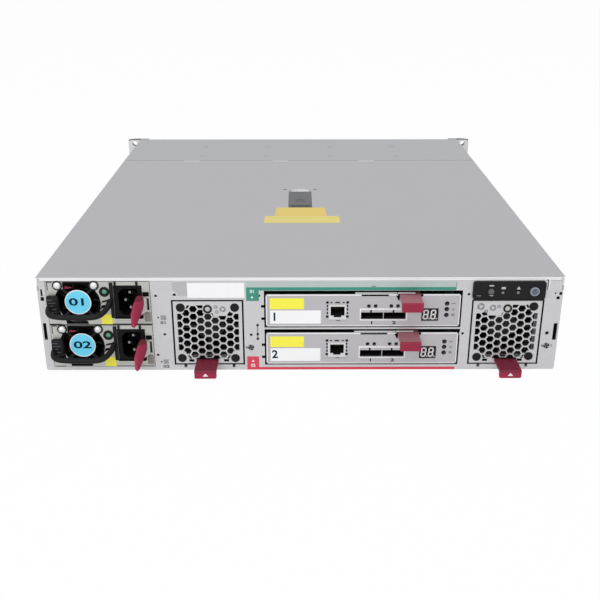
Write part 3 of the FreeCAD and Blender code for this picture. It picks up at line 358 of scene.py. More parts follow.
def mesh_of(curve):
    """The mesh of a curve or a text, ready for more work."""
    holder = bpy.data.objects.new(curve.name + "_holder", curve)
    scene.collection.objects.link(holder)
    made = bpy.data.meshes.new_from_object(holder)
    bpy.data.objects.remove(holder)
    bm = bmesh.new()
    bm.from_mesh(made)
    bpy.data.meshes.remove(made)
    return bm


def numeral(name, text, x, z, height, material, body, y=REAR, width=1.0):
    """A plain number printed on a face that looks to the rear."""
    curve = bpy.data.curves.new(name, "FONT")
    curve.body = text
    curve.size = height / CAP_SHARE
    curve.extrude = PRINT / 2
    curve.offset = height * BOLD_SHARE
    curve.align_x = "CENTER"
    curve.align_y = "CENTER"
    bm = mesh_of(curve)
    bmesh.ops.remove_doubles(bm, verts=bm.verts, dist=TOUCHING)
    bmesh.ops.transform(bm, verts=bm.verts, matrix=Matrix.LocRotScale(
        (x, y - PRINT / 2, z), Euler((math.radians(90), 0.0, 0.0)), (width, 1.0, 1.0)))
    return piece(name, bm, material, body)


STEEL = (203, 203, 205)
plated = finish("zinc plated steel", STEEL, 0.42, 0.35, stretch=(0.15, 1.0, 1.0), grain=0.08)
# The guide walls are darker steel, and their edges just behind the rear panel are painted near black as
# painted shade in the gaps.
inner_steel = finish("inner zinc steel", (96, 97, 100), 0.55, 0.5, stretch=(1.0, 0.2, 1.0), regions=[
    ((-225.0, -270.0, 0.0), (225.0, -258.0, 88.0), (14, 14, 15), 0.8, 0.0)])
dress(plated, "base_pan", "rear_panel")
dress(inner_steel, "bay_frame")
board_green = finish("circuit board", (30, 84, 58), 0.45, 0.0, scale=900.0, grain=0.25, coat=0.2)
dress(board_green, "midplane_boards")

ink = finish("grey ink", (58, 58, 61), 0.6, gloss=0.2)
pale_ink = finish("pale grey ink", (150, 150, 153), 0.6)
white_ink = finish("white ink", (240, 240, 240), 0.55)
green_film = finish("green film", (45, 140, 120), 0.45, coat=0.2, grain=0.05)
pale_green = finish("pale green film", (181, 194, 194), 0.45, coat=0.2, grain=0.05)
red_film = finish("red film", (214, 56, 82), 0.45, coat=0.2, grain=0.05)
white_film = finish("white label", (248, 248, 250), 0.5, coat=0.1, grain=0.03)
grey_film = finish("grey label", (183, 183, 187), 0.5, grain=0.05)

film("green_guide", [[(-46.5, 66.0), (-35.8, 66.0), (-35.8, 75.6), (132.5, 75.6), (132.5, 78.5),
                      (-46.5, 78.5)]], green_film, "chassis")
film("green_guide_tint", [box_outline(-46.5, 78.5, 132.5, 83.7)], pale_green, "chassis")
film("red_guide", [[(-47.0, 0.05), (136.0, 0.05), (136.0, 2.6), (-36.5, 2.6), (-36.5, 13.0), (-47.0, 13.0)]],
     red_film, "chassis")
on_print = REAR - PRINT
film("guide_arrows", [[(-42.9, 68.6), (-40.3, 68.6), (-41.6, 70.6)],
                      [(-43.1, 7.9), (-40.5, 7.9), (-41.8, 9.9)]],
     white_ink, "chassis", y=on_print)
numeral("guide_number_1", "01", -41.3, 74.6, 2.8, white_ink, "chassis", y=on_print)
numeral("guide_number_2", "02", -41.8, 4.2, 2.8, white_ink, "chassis", y=on_print)
film("panel_label", [box_outline(-96.5, 69.0, -48.0, 82.5)], white_film, "chassis")
film("panel_label_grey", [box_outline(-108.5, 71.0, -97.0, 83.5)], grey_film, "chassis")

# Round dimples pressed round the small panel holes.
SMALL_HOLES = ((-123.7, 70.7), (-107.7, 71.7), (-118.0, 34.5), (-125.0, 14.7), (143.7, 71.7), (140.8, 34.8))
bm = bmesh.new()
for x, z in SMALL_HOLES:
    spun(bm, x, z, [(1.25, REAR), (1.5, REAR - 0.2), (2.3, REAR - 0.26), (3.2, REAR)], closed=True)
spun(bm, 214.2, 35.2, [(1.65, REAR), (1.8, REAR - 0.3), (2.6, REAR - 0.3), (2.8, REAR)], closed=True)
piece("panel_dimples", bm, plated, "chassis")

# Small printed guide marks: a plate for each supply bay and a propeller for each fan bay.
film("bay_marks", [box_outline(-123.4, 49.9, -122.0, 51.3), box_outline(-123.0, 7.3, -121.6, 8.7)],
     ink, "chassis")
film("bay_plates", [box_outline(-120.6, 48.3, -115.8, 52.6), box_outline(-120.6, 6.0, -116.2, 10.2)],
     pale_ink, "chassis")
for number, z in (("1", 45.6), ("2", 3.3)):
    numeral("bay_number_" + number, "0" + number, -118.4, z, 2.5, ink, "chassis", width=1.5)
PROPELLER = 2.8
BLADE_LEAN, BLADE_HALF = 20, math.radians(38)
for number, x, z in (("1", -43.3, 21.8), ("2", 215.0, 23.0)):
    marks = []
    for angle in range(0, 360, 90):
        lean = math.radians(angle + BLADE_LEAN)
        marks.append([(x, z)] + [(x + PROPELLER * math.cos(turn), z + PROPELLER * math.sin(turn))
                                 for turn in (lean - BLADE_HALF, lean, lean + BLADE_HALF)])
    marks.append([(x - 4.8, z), (x - 3.2, z + 1.3), (x - 3.2, z - 1.3)])
    film("fan_mark_" + number, marks, ink, "chassis")
numeral("fan_number_2", "2", 219.2, 23.0, 2.4, pale_ink, "chassis")
film("slide_scale", [box_outline(-37.6, 30.0, -37.0, 43.6), box_outline(60.4, 78.9, 63.8, 79.5),
                     box_outline(132.3, 78.6, 132.7, 83.0), box_outline(30.6, 47.3, 34.0, 47.8),
                     box_outline(30.6, 11.3, 34.0, 11.8)], ink, "chassis")
bm = bmesh.new()
for z in (43.2, 34.6, 30.2):
    disc(bm, -37.3, z, 1.2, REAR - PRINT, REAR)
piece("slide_stops", bm, ink, "chassis")

# Shadowed openings, and the pad and groove of the right flange.
THIN = 0.05
dark_gap = finish("shadow black", (12, 12, 13), 0.9, gloss=0.05)
film("slot_lining", [box_outline(-222.4, 26.0, -218.6, 49.0), box_outline(218.4, 26.0, 222.4, 48.0),
                     box_outline(-222.4, 66.0, -218.9, 74.4), box_outline(211.5, 32.5, 217.0, 38.0),
                     box_outline(216.0, 66.0, 222.4, 74.4)],
     dark_gap, "chassis", y=REAR + 1.8, thick=0.4)
film("fan_bay_edges", [box_outline(x, 5.0, x + 0.8, 67.0) for x in (-111.0, -49.8, 146.8, 208.0)]
     + [box_outline(x, 66.2, x + 60.4, 67.0) for x in (-110.2, 147.6)],
     dark_gap, "chassis", y=REAR + 1.2, thick=1.0)
film("flange_pad", [[(211.2, 75.0), (221.0, 75.0), (221.0, 84.0), (210.6, 84.4)]],
     finish("bright flange", (244, 244, 246), 0.4, grain=0.04), "chassis", thick=THIN)
film("flange_holes", [box_outline(220.8, 71.0, 223.0, 73.6), box_outline(218.8, 67.0, 221.4, 69.6),
                      box_outline(-221.8, 66.4, -219.0, 69.8), box_outline(-221.0, 70.6, -219.8, 77.0)],
     dark_gap, "chassis", thick=0.06)
film("panel_wedge", [[(-109.6, 71.0), (-106.0, 71.0), (-107.4, 74.0)]], ink, "chassis")
film("flange_groove", [[(210.0, 75.5), (210.6, 75.5), (210.7, 84.0), (209.4, 85.6), (208.9, 85.2),
                        (210.0, 83.8)]], dark_gap, "chassis", thick=0.06)

# Domed pins on the side walls, which hang the shelf in its rails.
WALL_X = 224.0
bm = bmesh.new()
for side in (-1, 1):
    for y in (-205.0, -60.0, 60.0, 205.0):
        for z in (22.0, 58.0):
            spun(bm, 0.0, 0.0, [(0.0, -0.9), (2.2, -0.8), (3.6, -0.35), (3.9, 0.05)])
            fresh = [vert for vert in bm.verts if not vert.tag]
            bmesh.ops.transform(bm, verts=fresh, matrix=Matrix.Translation((side * WALL_X, y, z))
                                @ Matrix.Rotation(math.radians(90 * side), 4, "Z"))
            for vert in fresh:
                vert.tag = True
piece("rail_pins", bm, plated, "chassis")

# The rack ears are plated steel with a moulded black cap in front of each.
ears = finish("ear steel and caps", (226, 226, 228), 0.42, 0.2, grain=0.06, regions=[
    ((-245.0, 268.9, -5.0), (245.0, 300.0, 95.0), (34, 35, 38), 0.5, 0.0),
    ((-225.0, 268.9, -5.0), (225.0, 300.0, 95.0), (150, 151, 153), 0.5, 0.0)])
dress(ears, "rack_ears")

# The cover is the same sheet under a grey satin lacquer, with its hem bare and bright at the rear.
# It slides back under a sprung latch that sits in a sunk tray, with two plain labels behind it.
cover_paint = finish("grey satin lacquer", (177, 177, 181), 0.45, 0.1, stretch=(0.3, 1.0, 1.0), scale=300.0,
                     grain=0.04, blotch=0.05, bump=0.03, regions=[
                         ((-226.0, -270.0, 80.0), (226.0, -267.9, 87.5), (236, 236, 238), 0.4, 0.1),
                         # The sunk tray under the latch is painted darker, and its far rim is painted near
                         # white as a painted highlight on its curved edge.
                         ((-13.5, -67.5, 75.0), (14.8, 12.0, 87.6), (120, 121, 124), 0.35, 0.4),
                         ((-13.5, 0.5, 75.0), (14.8, 12.0, 87.85), (252, 252, 253), 0.4, 0.0)])
dress(cover_paint, "top_cover")
dress(finish("grey front lacquer", (174, 175, 177), 0.45, 0.1, stretch=(0.3, 1.0, 1.0), scale=300.0,
             grain=0.04, blotch=0.05, bump=0.03, regions=[
                 ((-223.0, 140.0, -1.0), (223.0, 270.0, 86.6), (150, 151, 154), 0.5, 0.5)]), "drive_cage")
# The latch's near end is painted darker as painted shade.
dress(finish("latch plastic", (82, 83, 87), 0.5, scale=700.0, grain=0.1, bump=0.15, regions=[
    ((-14.0, -68.0, 80.0), (15.0, -55.0, 89.0), (60, 60, 62), 0.5, 0.0)]), "cover_latch")


def lay_flat(bm, outline, low, high):
    """A flat outline of X and Y, from low up to high."""
    face = bm.faces.new([bm.verts.new((x, y, low)) for x, y in outline])
    made = bmesh.ops.extrude_face_region(bm, geom=[face])
    verts = [item for item in made["geom"] if isinstance(item, bmesh.types.BMVert)]
    bmesh.ops.translate(bm, vec=(0.0, 0.0, high - low), verts=verts)


def plates(name, outlines, low, high, material, body):
    """Thin shapes that lie on the top of the shelf."""
    bm = bmesh.new()
    for outline in outlines:
        lay_flat(bm, outline, low, high)
    return piece(name, bm, material, body)


def blocks(name, boxes, bevel, material, body):
    """Small bars with their edges bevelled; a box is its lowest and highest corner."""
    bm = bmesh.new()
    for low, high in boxes:
        block(bm, low, high, bevel)
    return piece(name, bm, material, body)


plates("cover_label", [[(-26.0, -96.5), (28.0, -96.5), (26.5, -67.0), (-24.5, -67.0)]], TOP, TOP + PRINT,
       finish("yellow label", (230, 202, 90), 0.5, grain=0.06, coat=0.1), "cover")
plates("cover_label_band", [box_outline(-36.0, -120.0, 40.5, -96.8)], TOP, TOP + PRINT,
       finish("pale yellow label", (229, 211, 114), 0.5, grain=0.06, coat=0.1), "cover")
blocks("seam_tongues", [((x - 10.0, 132.5, TOP - 0.2), (x + 10.0, 141.6, TOP + 0.35))
                        for x in (-137.0, -24.0, 86.0)],
       0.3, finish("bright tongue", (190, 190, 195), 0.4, 0.2), "cover")
plates("seam_line", [box_outline(-222.0, 141.3, 222.0, 142.3)], TOP - 0.3, TOP + 0.02,
       finish("seam shade", (142, 142, 146), 0.6), "chassis")
bm = bmesh.new()
for x in (-126.0, -43.0, 42.0, 127.0):
    for y in (168.0, 222.0):
        bmesh.ops.create_uvsphere(bm, u_segments=20, v_segments=12, radius=1.0,
                                  matrix=Matrix.LocRotScale((x, y, TOP - 0.02), None, (4.5, 4.5, 0.3)))
piece("front_ribs", bm, finish("rib lacquer", (166, 167, 169), 0.45, 0.1, grain=0.04), "chassis")
LATCH_X = 0.65
LATCH_TOP = 87.7
# Two slits in the sheet beside the latch are painted dark grey as painted shade inside them.
plates("latch_slit_shade", [box_outline(LATCH_X + side * 17.0 - 1.6, 2.5, LATCH_X + side * 17.0 + 1.6, 5.0)
                       for side in (-1, 1)], TOP - 0.05, TOP + PRINT, ink, "cover")
bm = bmesh.new()
for y in (-40.0, -34.0):
    lay_flat(bm, [(-5.4, y - 4.4), (-2.8, y - 4.4), (LATCH_X, y - 1.0), (4.1, y - 4.4), (6.7, y - 4.4),
                  (LATCH_X, y + 1.4)], LATCH_TOP - 0.05, LATCH_TOP + 0.08)
for y in (-63.0, -60.6, -58.2):
    block(bm, (-9.5, y - 0.5, LATCH_TOP - 0.2), (10.8, y + 0.5, LATCH_TOP + 0.12), 0.1)
piece("latch_chevrons", bm, finish("latch relief", (26, 26, 28), 0.5), "cover_latch")

# A power supply is a zinc steel box. Its small fan looks out beside the inlet, and the black moulded
# handle, the burgundy release lever, the light and a plain yellow label are fixed to its face.
# Outlines and points here are measured from the middle of a supply's underside.
PSU_X = -172.55
SUPPLIES = (("1", 44.4), ("2", 3.7))
FAN_SCREWS = (-33.95, -2.95)
SCREW_Z = 36.0
LIGHT_X, LIGHT_Z = 5.5, 30.3
HUB_X, HUB_Z, HUB_FACE = -17.95, 20.3, REAR + 1.0
LABEL_FACE = HUB_FACE - 0.4
YELLOW_CORNERS = [(1.1, 0.3), (10.4, 0.3), (10.6, 9.2), (5.0, 9.2), (1.1, 5.8)]
# Slots in the face and the gaps along the case's edges, painted black as painted shade.
DARK_SLOTS = [
    [(0.8, 13.4), (3.4, 15.4), (8.4, 16.6), (8.4, 18.6), (2.0, 17.6)],
    [(2.0, 19.2), (3.0, 21.8), (7.6, 23.0), (9.2, 21.6), (3.4, 20.4)],
    box_outline(12.6, 5.0, 36.4, 6.8),
    box_outline(10.6, -0.1, 43.6, 0.5), box_outline(-43.6, -0.1, -34.0, 0.5),
    box_outline(-43.0, 31.5, -42.3, 39.3), box_outline(-42.3, 38.6, -38.0, 39.3)]
# Black round the fan, over the top edge, down the right side and behind the grip: partly the fan's black
# plastic, partly painted shade beside it, laid as flat film in the shadow black. The foot below the fan is a
# painted shadow cast by the handle.
FAN_SHROUD_AND_SHADE = [
    (-29.5, 39.3), (-29.5, 33.0), (-34.0, 31.8), (-36.4, 27.2), (-42.6, 24.6), (-42.6, 9.6), (-33.0, 8.0),
    (-33.5, 11.0), (-35.6, 16.0), (-35.7, 22.0), (-33.6, 28.4), (-28.6, 33.8), (-23.0, 36.8), (-17.95, 37.5),
    (-12.0, 36.6), (-7.4, 34.0), (-2.9, 29.2), (-0.4, 23.0), (-0.3, 17.0), (-2.4, 11.0), (-6.0, 6.6),
    (-3.4, 6.2), (0.6, 12.0), (1.8, 19.6), (0.8, 26.0), (-2.4, 32.0), (-5.6, 36.0), (-6.4, 39.3)]
HANDLE_SHADOW = [(-29.0, 0.3), (-10.0, 0.3), (-11.0, 3.2), (-17.95, 2.2), (-25.0, 3.2), (-30.0, 6.4)]
FAN_GLIMPSE = [(-28.4, 33.0), (-23.0, 33.4), (-21.4, 34.6), (-27.6, 35.4)]
SEAMS = [box_outline(12.6, 1.0, 36.0, 1.5), box_outline(13.4, 2.9, 35.0, 3.5)]
# The handle's line: across, out from the face, up.
HANDLE_LINE = ((-41.0, 0.0, 18.8), (-41.8, 7.0, 17.6), (-40.8, 14.0, 15.4), (-35.0, 16.0, 13.8),
               (-20.0, 16.0, 13.2), (-4.0, 16.0, 13.2), (2.0, 15.0, 13.8), (6.6, 9.6, 15.9),
               (9.4, 4.0, 19.2), (9.8, -0.4, 21.8))
HANDLE_RADIUS = 2.5
# The thumb pad's levels: a height, then across and out for its left edge, its right edge and its root.
THUMB_PAD = ((29.4, 33.8, 8.5, 37.4, 6.5, 37.0, 5.0), (27.0, 32.0, 11.5, 39.6, 7.5, 39.2, 3.6),
             (24.2, 30.6, 14.5, 40.5, 9.0, 39.8, 3.0), (21.2, 29.6, 17.0, 40.4, 10.5, 39.8, 3.0),
             (18.4, 29.8, 19.0, 39.8, 12.5, 39.4, 3.4), (15.6, 30.3, 20.5, 38.6, 15.0, 38.2, 6.0),
             (12.6, 30.9, 21.5, 37.4, 17.5, 36.6, 10.0), (9.6, 31.5, 22.0, 36.0, 19.5, 35.0, 14.5),
             (6.4, 32.5, 22.0, 34.6, 21.0, 34.0, 18.5))
black_plastic = finish("black plastic", (26, 26, 27), 0.5, scale=900.0, grain=0.12, bump=0.12, gloss=0.15)
bright_screw = finish("nickel screw", (228, 228, 228), 0.25, 0.7, scale=900.0)
# The fan tab is burgundy plastic with a brighter lip; the part of it inside the panel is painted near black as
# painted shade.
tab_dark = finish("dark burgundy plastic", (122, 34, 56), 0.45, scale=900.0, grain=0.08, gloss=0.3, regions=[
    ((-250.0, -295.0, 0.0), (250.0, -288.9, 7.9), (156, 34, 70), 0.4, 0.0),
    ((-250.0, REAR + 0.4, 0.0), (250.0, REAR + 30.0, 20.0), (16, 16, 17), 0.7, 0.0)])
strip_grey = finish("brown grey steel", (140, 131, 129), 0.5, 0.2)
# The grip's ridges are painted lighter grey as painted highlights on the knurling.
grip_ridge_highlight = finish("black plastic with painted highlight", (74, 74, 76), 0.5, scale=900.0, grain=0.2, bump=0.15, gloss=0.2)
glass_green = finish("green light", (80, 156, 126), 0.2, coat=0.3)
cyan_label = finish("cyan label", (118, 222, 254), 0.5, grain=0.04, gloss=0.2)
label_ink = finish("label ink", (10, 44, 66), 0.55, gloss=0.1)
bright_yellow = finish("bright yellow label", (250, 243, 72), 0.5, grain=0.05)
psu_steel = finish("supply case steel", (190, 191, 187), 0.42, 0.35, stretch=(1.0, 0.2, 1.0), grain=0.1,
                   blotch=0.16)


def moved(outlines, x, z):
    """Outlines carried across by x and up by z."""
    return [[(x + across, z + up) for across, up in outline] for outline in outlines]


def turned(name, centres, profile, material, body):
    """The same shape turned about each centre."""
    bm = bmesh.new()
    for x, z in centres:
        spun(bm, x, z, profile)
    return piece(name, bm, material, body)


def handle_bar(name, low):
    """A round bar that leaves the face at the left and comes back at the right."""
    path = bpy.data.curves.new(name, "CURVE")
    path.dimensions = "3D"
    path.bevel_depth = HANDLE_RADIUS
    path.bevel_resolution = 4
    path.use_fill_caps = True
    spline = path.splines.new("NURBS")
    spline.points.add(len(HANDLE_LINE) - 1)
    for point, (x, out, z) in zip(spline.points, HANDLE_LINE):
        point.co = (PSU_X + x, REAR - out, low + z, 1.0)
    spline.order_u = 4
    spline.use_endpoint_u = True
    return mesh_of(path)


def thumb_pad(low):
    """A pad that swells out of the lever's leaf and droops, built level by level."""
    bm = bmesh.new()
    levels = []
    for z, left, left_out, right, right_out, root, root_out in THUMB_PAD:
        crown = (left * 0.6 + right * 0.4, left_out * 0.7 + right_out * 0.3 + 0.6)
        hollow = ((left + root) / 2 - 1.2, (left_out + root_out) / 2 - 2.4)
        outline = ((left, left_out - 0.6), crown, (right, right_out), (root, root_out), hollow)
        verts = [bm.verts.new((PSU_X + x, REAR - out, low + z)) for x, out in outline]
        levels.append([bm.edges.new(pair) for pair in zip(verts, verts[1:] + verts[:1])])
    for upper, lower in zip(levels, levels[1:]):
        bmesh.ops.bridge_loops(bm, edges=upper + lower)
    for end in (levels[0], levels[-1]):
        bmesh.ops.contextual_create(bm, geom=end)
    return bm


for number, low in SUPPLIES:
    body = "psu_" + number
    screws = [(PSU_X + x, low + SCREW_Z) for x in FAN_SCREWS]
    light_x, light_z = PSU_X + LIGHT_X, low + LIGHT_Z
    hub_x, hub_z = PSU_X + HUB_X, low + HUB_Z
    inlet_x, inlet_z = PSU_X + 25.3, low + 20.85
    dress(psu_steel, body + "_case")
    dress(black_plastic, body + "_fan_frame", body + "_rotor")
    dress(finish("lever plastic " + number, (172, 44, 82), 0.42, scale=900.0, grain=0.08, bump=0.06,
                 gloss=0.3, regions=[((PSU_X + 36.8, -280.0, low), (PSU_X + 44.0, -230.0, low + 39.0),
                                      (198, 198, 194), 0.45, 0.3)]), body + "_lever")
    pins = [((inlet_x + dx, -264.5, inlet_z + dz - 1.2), (inlet_x + dx + 1.9, -262.6, inlet_z + dz + 1.2),
             (150, 150, 146), 0.3, 0.6) for dx, dz in ((-0.3, 7.0), (-0.3, -7.0), (-4.3, 0.0))]
    dress(finish("inlet plastic " + number, (14, 14, 15), 0.5, scale=900.0, grain=0.12, bump=0.1, gloss=0.12,
                 regions=[((inlet_x - 8.4, -268.6, inlet_z - 12.3), (inlet_x + 8.4, -245.0, inlet_z + 12.3),
                           (13, 12, 13), 0.6, 0.0)] + pins), body + "_inlet")

    bm = bmesh.new()
    for x, z in screws:
        ring(bm, x, z, 3.3, 4.3, REAR - 0.5, REAR + 0.1)
    ring(bm, light_x, light_z, 2.3, 4.4, REAR - 0.8, REAR + 0.1)
    for x in (PSU_X + 14.9, PSU_X + 33.4):
        block(bm, (x - 0.9, REAR - 1.4, low + 36.1), (x + 0.9, REAR, low + 39.6), 0.3)
    piece(body + "_black_trim", bm, black_plastic, body)
    turned(body + "_screws", screws,
           [(0.0, REAR - 2.6), (1.4, REAR - 2.5), (2.6, REAR - 1.9), (3.3, REAR - 0.8), (3.3, REAR + 0.1)],
           bright_screw, body)
    turned(body + "_light", [(light_x, light_z)],
           [(0.0, REAR - 0.7), (1.5, REAR - 0.55), (2.25, REAR - 0.1), (2.25, REAR + 1.0)],
           glass_green, body)

    for name, radius, near, far, material in (("_label_ring", 11.3, HUB_FACE - 0.3, HUB_FACE, white_film),
                                              ("_label", 10.5, LABEL_FACE, HUB_FACE - 0.3, cyan_label)):
        bm = bmesh.new()
        disc(bm, hub_x, hub_z, radius, near, far)
        piece(body + name, bm, material, body)
    numeral(body + "_label_number", "0" + number, hub_x, hub_z, 6.4, label_ink, body,
            y=LABEL_FACE, width=1.7)
    film(body + "_yellow_label", moved([YELLOW_CORNERS], PSU_X, low), bright_yellow, body,
         thick=0.3)
    film(body + "_dark_slots", moved(DARK_SLOTS + [FAN_SHROUD_AND_SHADE, HANDLE_SHADOW], PSU_X, low), dark_gap, body,
         thick=THIN)
    film(body + "_fan_glimpse", moved([FAN_GLIMPSE], PSU_X, low), tab_dark, body, thick=0.1)
    film(body + "_seams", moved(SEAMS, PSU_X, low), pale_ink, body, thick=THIN)

    bm = handle_bar(body + "_handle_path", low)
    block(bm, (PSU_X - 43.6, REAR - 5.6, low + 12.0), (PSU_X - 33.4, REAR, low + 27.6), 1.6)
    block(bm, (PSU_X + 9.8, REAR - 0.5, low + 6.0), (PSU_X + 13.0, REAR, low + 38.8), 0.2)
    handle = piece(body + "_grip", bm, black_plastic, body)
    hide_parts(body + "_handle")
    # Lighter ridges on the grip, painted as highlights.
    blocks(body + "_grip_ribs", [((PSU_X - 43.0 + 1.5 * (k % 2), REAR - 6.5, low + 13.2 + 2.8 * k),
                                  (PSU_X - 37.4 + 2.2 * (k % 2), REAR - 5.2, low + 14.4 + 2.8 * k))
                                 for k in range(5)], 0.5, grip_ridge_highlight, body)

    # Fittings on the narrow strip beside the lever.
    blocks(body + "_strip_stop",
           [((PSU_X + 37.8, REAR - 0.4, low + 26.0), (PSU_X + 43.2, REAR + 0.1, low + 29.9))],
           0.15, dark_gap, body)
    blocks(body + "_strip_box", [((PSU_X + 38.4, REAR - 1.0, low + 2.6), (PSU_X + 43.4, REAR, low + 11.0))],
           0.3, strip_grey, body)

    shaded_top = ((PSU_X + 30.0, -295.0, low + 25.6), (PSU_X + 41.0, -270.0, low + 33.0),
                  (104, 24, 42), 0.5, 0.0)
    pad_red = finish("thumb pad " + number, (146, 36, 66), 0.42, scale=900.0, grain=0.08, bump=0.06,
                     gloss=0.25, regions=[shaded_top])
    pad = piece(body + "_lever_pad", thumb_pad(low), pad_red, body + "_lever")
    smooth = pad.modifiers.new("smooth", "SUBSURF")
    smooth.levels = smooth.render_levels = 2

# A fan module has a zinc steel face pierced as a honeycomb, black rubber grommets in its corners and
# a clear ring light. Its burgundy tab is hinged behind the face and turned down at the lip.
FAN_Z = 6.5
FAN_HALF = 28.1
RING_Z = FAN_Z + 52.0
TAB_LIP = REAR - 22.0
TAB_ARROW = [(-2.4, -1.6), (2.4, -1.6), (0.0, 1.1)]
# Each fan's number, middle, its tab's place and its grommets' places.
FANS = (("1", -80.0, -1.9, (-23.2, 53.3), (23.3, 53.3), (-24.0, 5.2), (22.7, 5.0)),
        ("2", 177.8, 2.4, (22.4, 53.8), (-23.1, 5.7), (22.5, 6.3)))
# Round turn marks printed beside the lights, as a place and a radius.
MARKS = {"1": ((7.0, 53.8, 1.7), (13.0, 51.8, 2.8), (8.0, 49.2, 1.6)),
         "2": ((-23.0, 53.8, 3.3), (-12.6, 52.6, 2.9), (-18.2, 49.4, 1.7), (-7.4, 53.8, 1.7))}
rotor_black = finish("rotor plastic", (9, 9, 10), 0.85, gloss=0.05)
rubber = finish("black rubber", (26, 25, 26), 0.75, scale=700.0, grain=0.2, bump=0.2, gloss=0.2)
mark_ink = finish("mid grey ink", (132, 132, 135), 0.6)
glass_white = finish("clear light", (188, 190, 186), 0.2, coat=0.5)
for number, centre, tab_x, *grommets in FANS:
    body = "fan_" + number
    left, right = centre - FAN_HALF, centre + FAN_HALF
    # Inside the module, behind the pierced face, the steel is painted dark grey and deeper in near black, as
    # painted shade.
    dress(finish("fan module steel " + number, STEEL, 0.42, 0.35, grain=0.08, regions=[
        ((left, REAR + 13.9, 7.8), (right, REAR + 39.2, 64.2), (13, 13, 14), 0.7, 0.0),
        ((left, REAR + 2.0, 7.9), (right, REAR + 13.9, 64.1), (58, 59, 61), 0.6, 0.2)]),
          "fan_module_" + number)
    dress(rotor_black, "fan_rotor_" + number)
    dress(tab_dark, "fan_tab_" + number)
    turned(body + "_grommets", [(centre + x, FAN_Z + z) for x, z in grommets],
           [(0.0, REAR - 0.5), (1.6, REAR - 0.6), (3.0, REAR - 0.9), (3.7, REAR - 0.7), (3.9, REAR + 0.05)],
           rubber, body)
    bm = bmesh.new()
    ring(bm, centre, RING_Z, 2.45, 3.8, REAR - 0.7, REAR + 0.1)
    piece(body + "_light_ring", bm, black_plastic, body)
    turned(body + "_light", [(centre, RING_Z)],
           [(0.0, REAR - 0.7), (1.6, REAR - 0.6), (2.4, REAR - 0.1), (2.4, REAR + 1.0)],
           glass_white, body)
    film(body + "_slots", [box_outline(centre + x - 2.2, FAN_Z + 1.6, centre + x + 2.2, FAN_Z + 3.9)
                           for x in (-15.8, 14.8)], dark_gap, body, thick=THIN)
    arrows = []
    for u, v, radius in MARKS[number]:
        for start in (20, 140, 260):
            arc = [math.radians(start + turn) for turn in (0, 35, 70, 105)]
            arrows.append([(centre + u + reach * math.cos(turn), FAN_Z + v + reach * math.sin(turn))
                           for reach, turns in ((radius * 0.45, arc), (radius, arc[::-1])) for turn in turns])
    film(body + "_turn_marks", arrows, mark_ink, body)
    film(body + "_tab_arrow", moved([TAB_ARROW], centre + tab_x, FAN_Z), white_ink, body + "_tab",
         y=TAB_LIP)

# A port module has a painted steel face with rounded corners. Its ports and its two-digit display
# stand on the circuit board behind it, and a burgundy lever hinges in the top edge.
# Heights here are measured from the underside of a module.
STATUS_X = 125.5
STATUS_ROWS = (21.2, 16.0, 10.5)
LINK_LIGHTS = (58.5, 64.3, 77.7, 83.5)
LINK_Z = 19.0
STATUS_SIGNS = [box_outline(129.4, 20.7, 132.8, 21.7), [(129.8, 15.0), (132.4, 15.0), (131.1, 17.2)],
                box_outline(129.8, 9.6, 132.4, 11.8)]
SHIELD_TABS = ([(x - 1.1, z - 1.0, x + 1.1, z + 1.0)
                for x, z in ((22.9, 22.4), (40.2, 22.4), (22.9, 9.2), (40.2, 9.2))]
               + [(25.6, 21.8, 27.2, 22.9), (29.6, 21.8, 33.6, 22.9), (36.0, 21.8, 37.6, 22.9)]
               + [(x - 0.6, z - 1.0, x + 0.6, z + 1.0) for z in (12.6, 16.0, 19.2) for x in (23.0, 40.1)])
PORT_RIM = ((50.9, 5.6, 91.8, 6.6), (50.9, 15.6, 91.8, 16.7), (50.9, 6.6, 51.7, 15.6),
            (91.0, 6.6, 91.8, 15.6))
EDGE_HIGHLIGHT = ((-28.6, 28.8, 83.0, 29.8), (105.0, 28.8, 136.0, 29.8), (-29.8, 1.2, -29.0, 28.4),
             (136.1, 1.2, 136.8, 28.8), (-29.0, 0.2, 136.0, 0.8))
LEVER_SLOTS = [[(80.6, 29.9), (84.6, 29.9), (84.6, 24.0), (83.4, 24.6), (82.0, 27.6)],
               [(102.8, 29.9), (102.8, 27.2), (104.6, 28.0), (104.6, 29.9)]]
# The display's segments: a level and an upright bar, each placed by halves of a digit's width and height.
LEVEL = [(-1.8, 0.0), (-1.2, 0.62), (1.2, 0.62), (1.8, 0.0), (1.2, -0.62), (-1.2, -0.62)]
UPRIGHT = [(-0.12, -2.0), (-0.66, -1.5), (-0.56, 1.5), (0.1, 2.0), (0.66, 1.5), (0.56, -1.5)]
SEGMENTS = ((LEVEL, 0, 1), (UPRIGHT, -0.5, 0.5), (UPRIGHT, 0.5, 0.5), (LEVEL, 0, 0), (UPRIGHT, -0.5, -0.5),
            (UPRIGHT, 0.5, -0.5), (LEVEL, 0, -1))
DIGITS = (107.8, 114.2)
DIGIT_WIDE, DIGIT_HALF, DIGIT_LEAN = 3.5, 3.9, 0.35
# The port lever is burgundy plastic: its lip keeps the burgundy, and the rest, whose top faces the lamps, is
# painted pale pink as a painted highlight.
lever_burgundy_highlit = finish("burgundy lever plastic with painted highlight", (166, 108, 116), 0.4, scale=900.0, grain=0.06, gloss=0.4, regions=[
    ((-250.0, -295.0, 0.0), (250.0, -286.9, 95.0), (148, 24, 58), 0.4, 0.0)])
port_black = finish("port black", (16, 16, 17), 0.7, gloss=0.1)
bright_rim_and_highlight = finish("bright rim and painted edge highlight", (246, 245, 247), 0.4)
contact_gold = finish("contact gold", (70, 58, 34), 0.4, 0.6)
segment_white = finish("segment white", (226, 222, 222), 0.5)
segment_dim = finish("dark light", (8, 10, 8), 0.15, gloss=0.3)


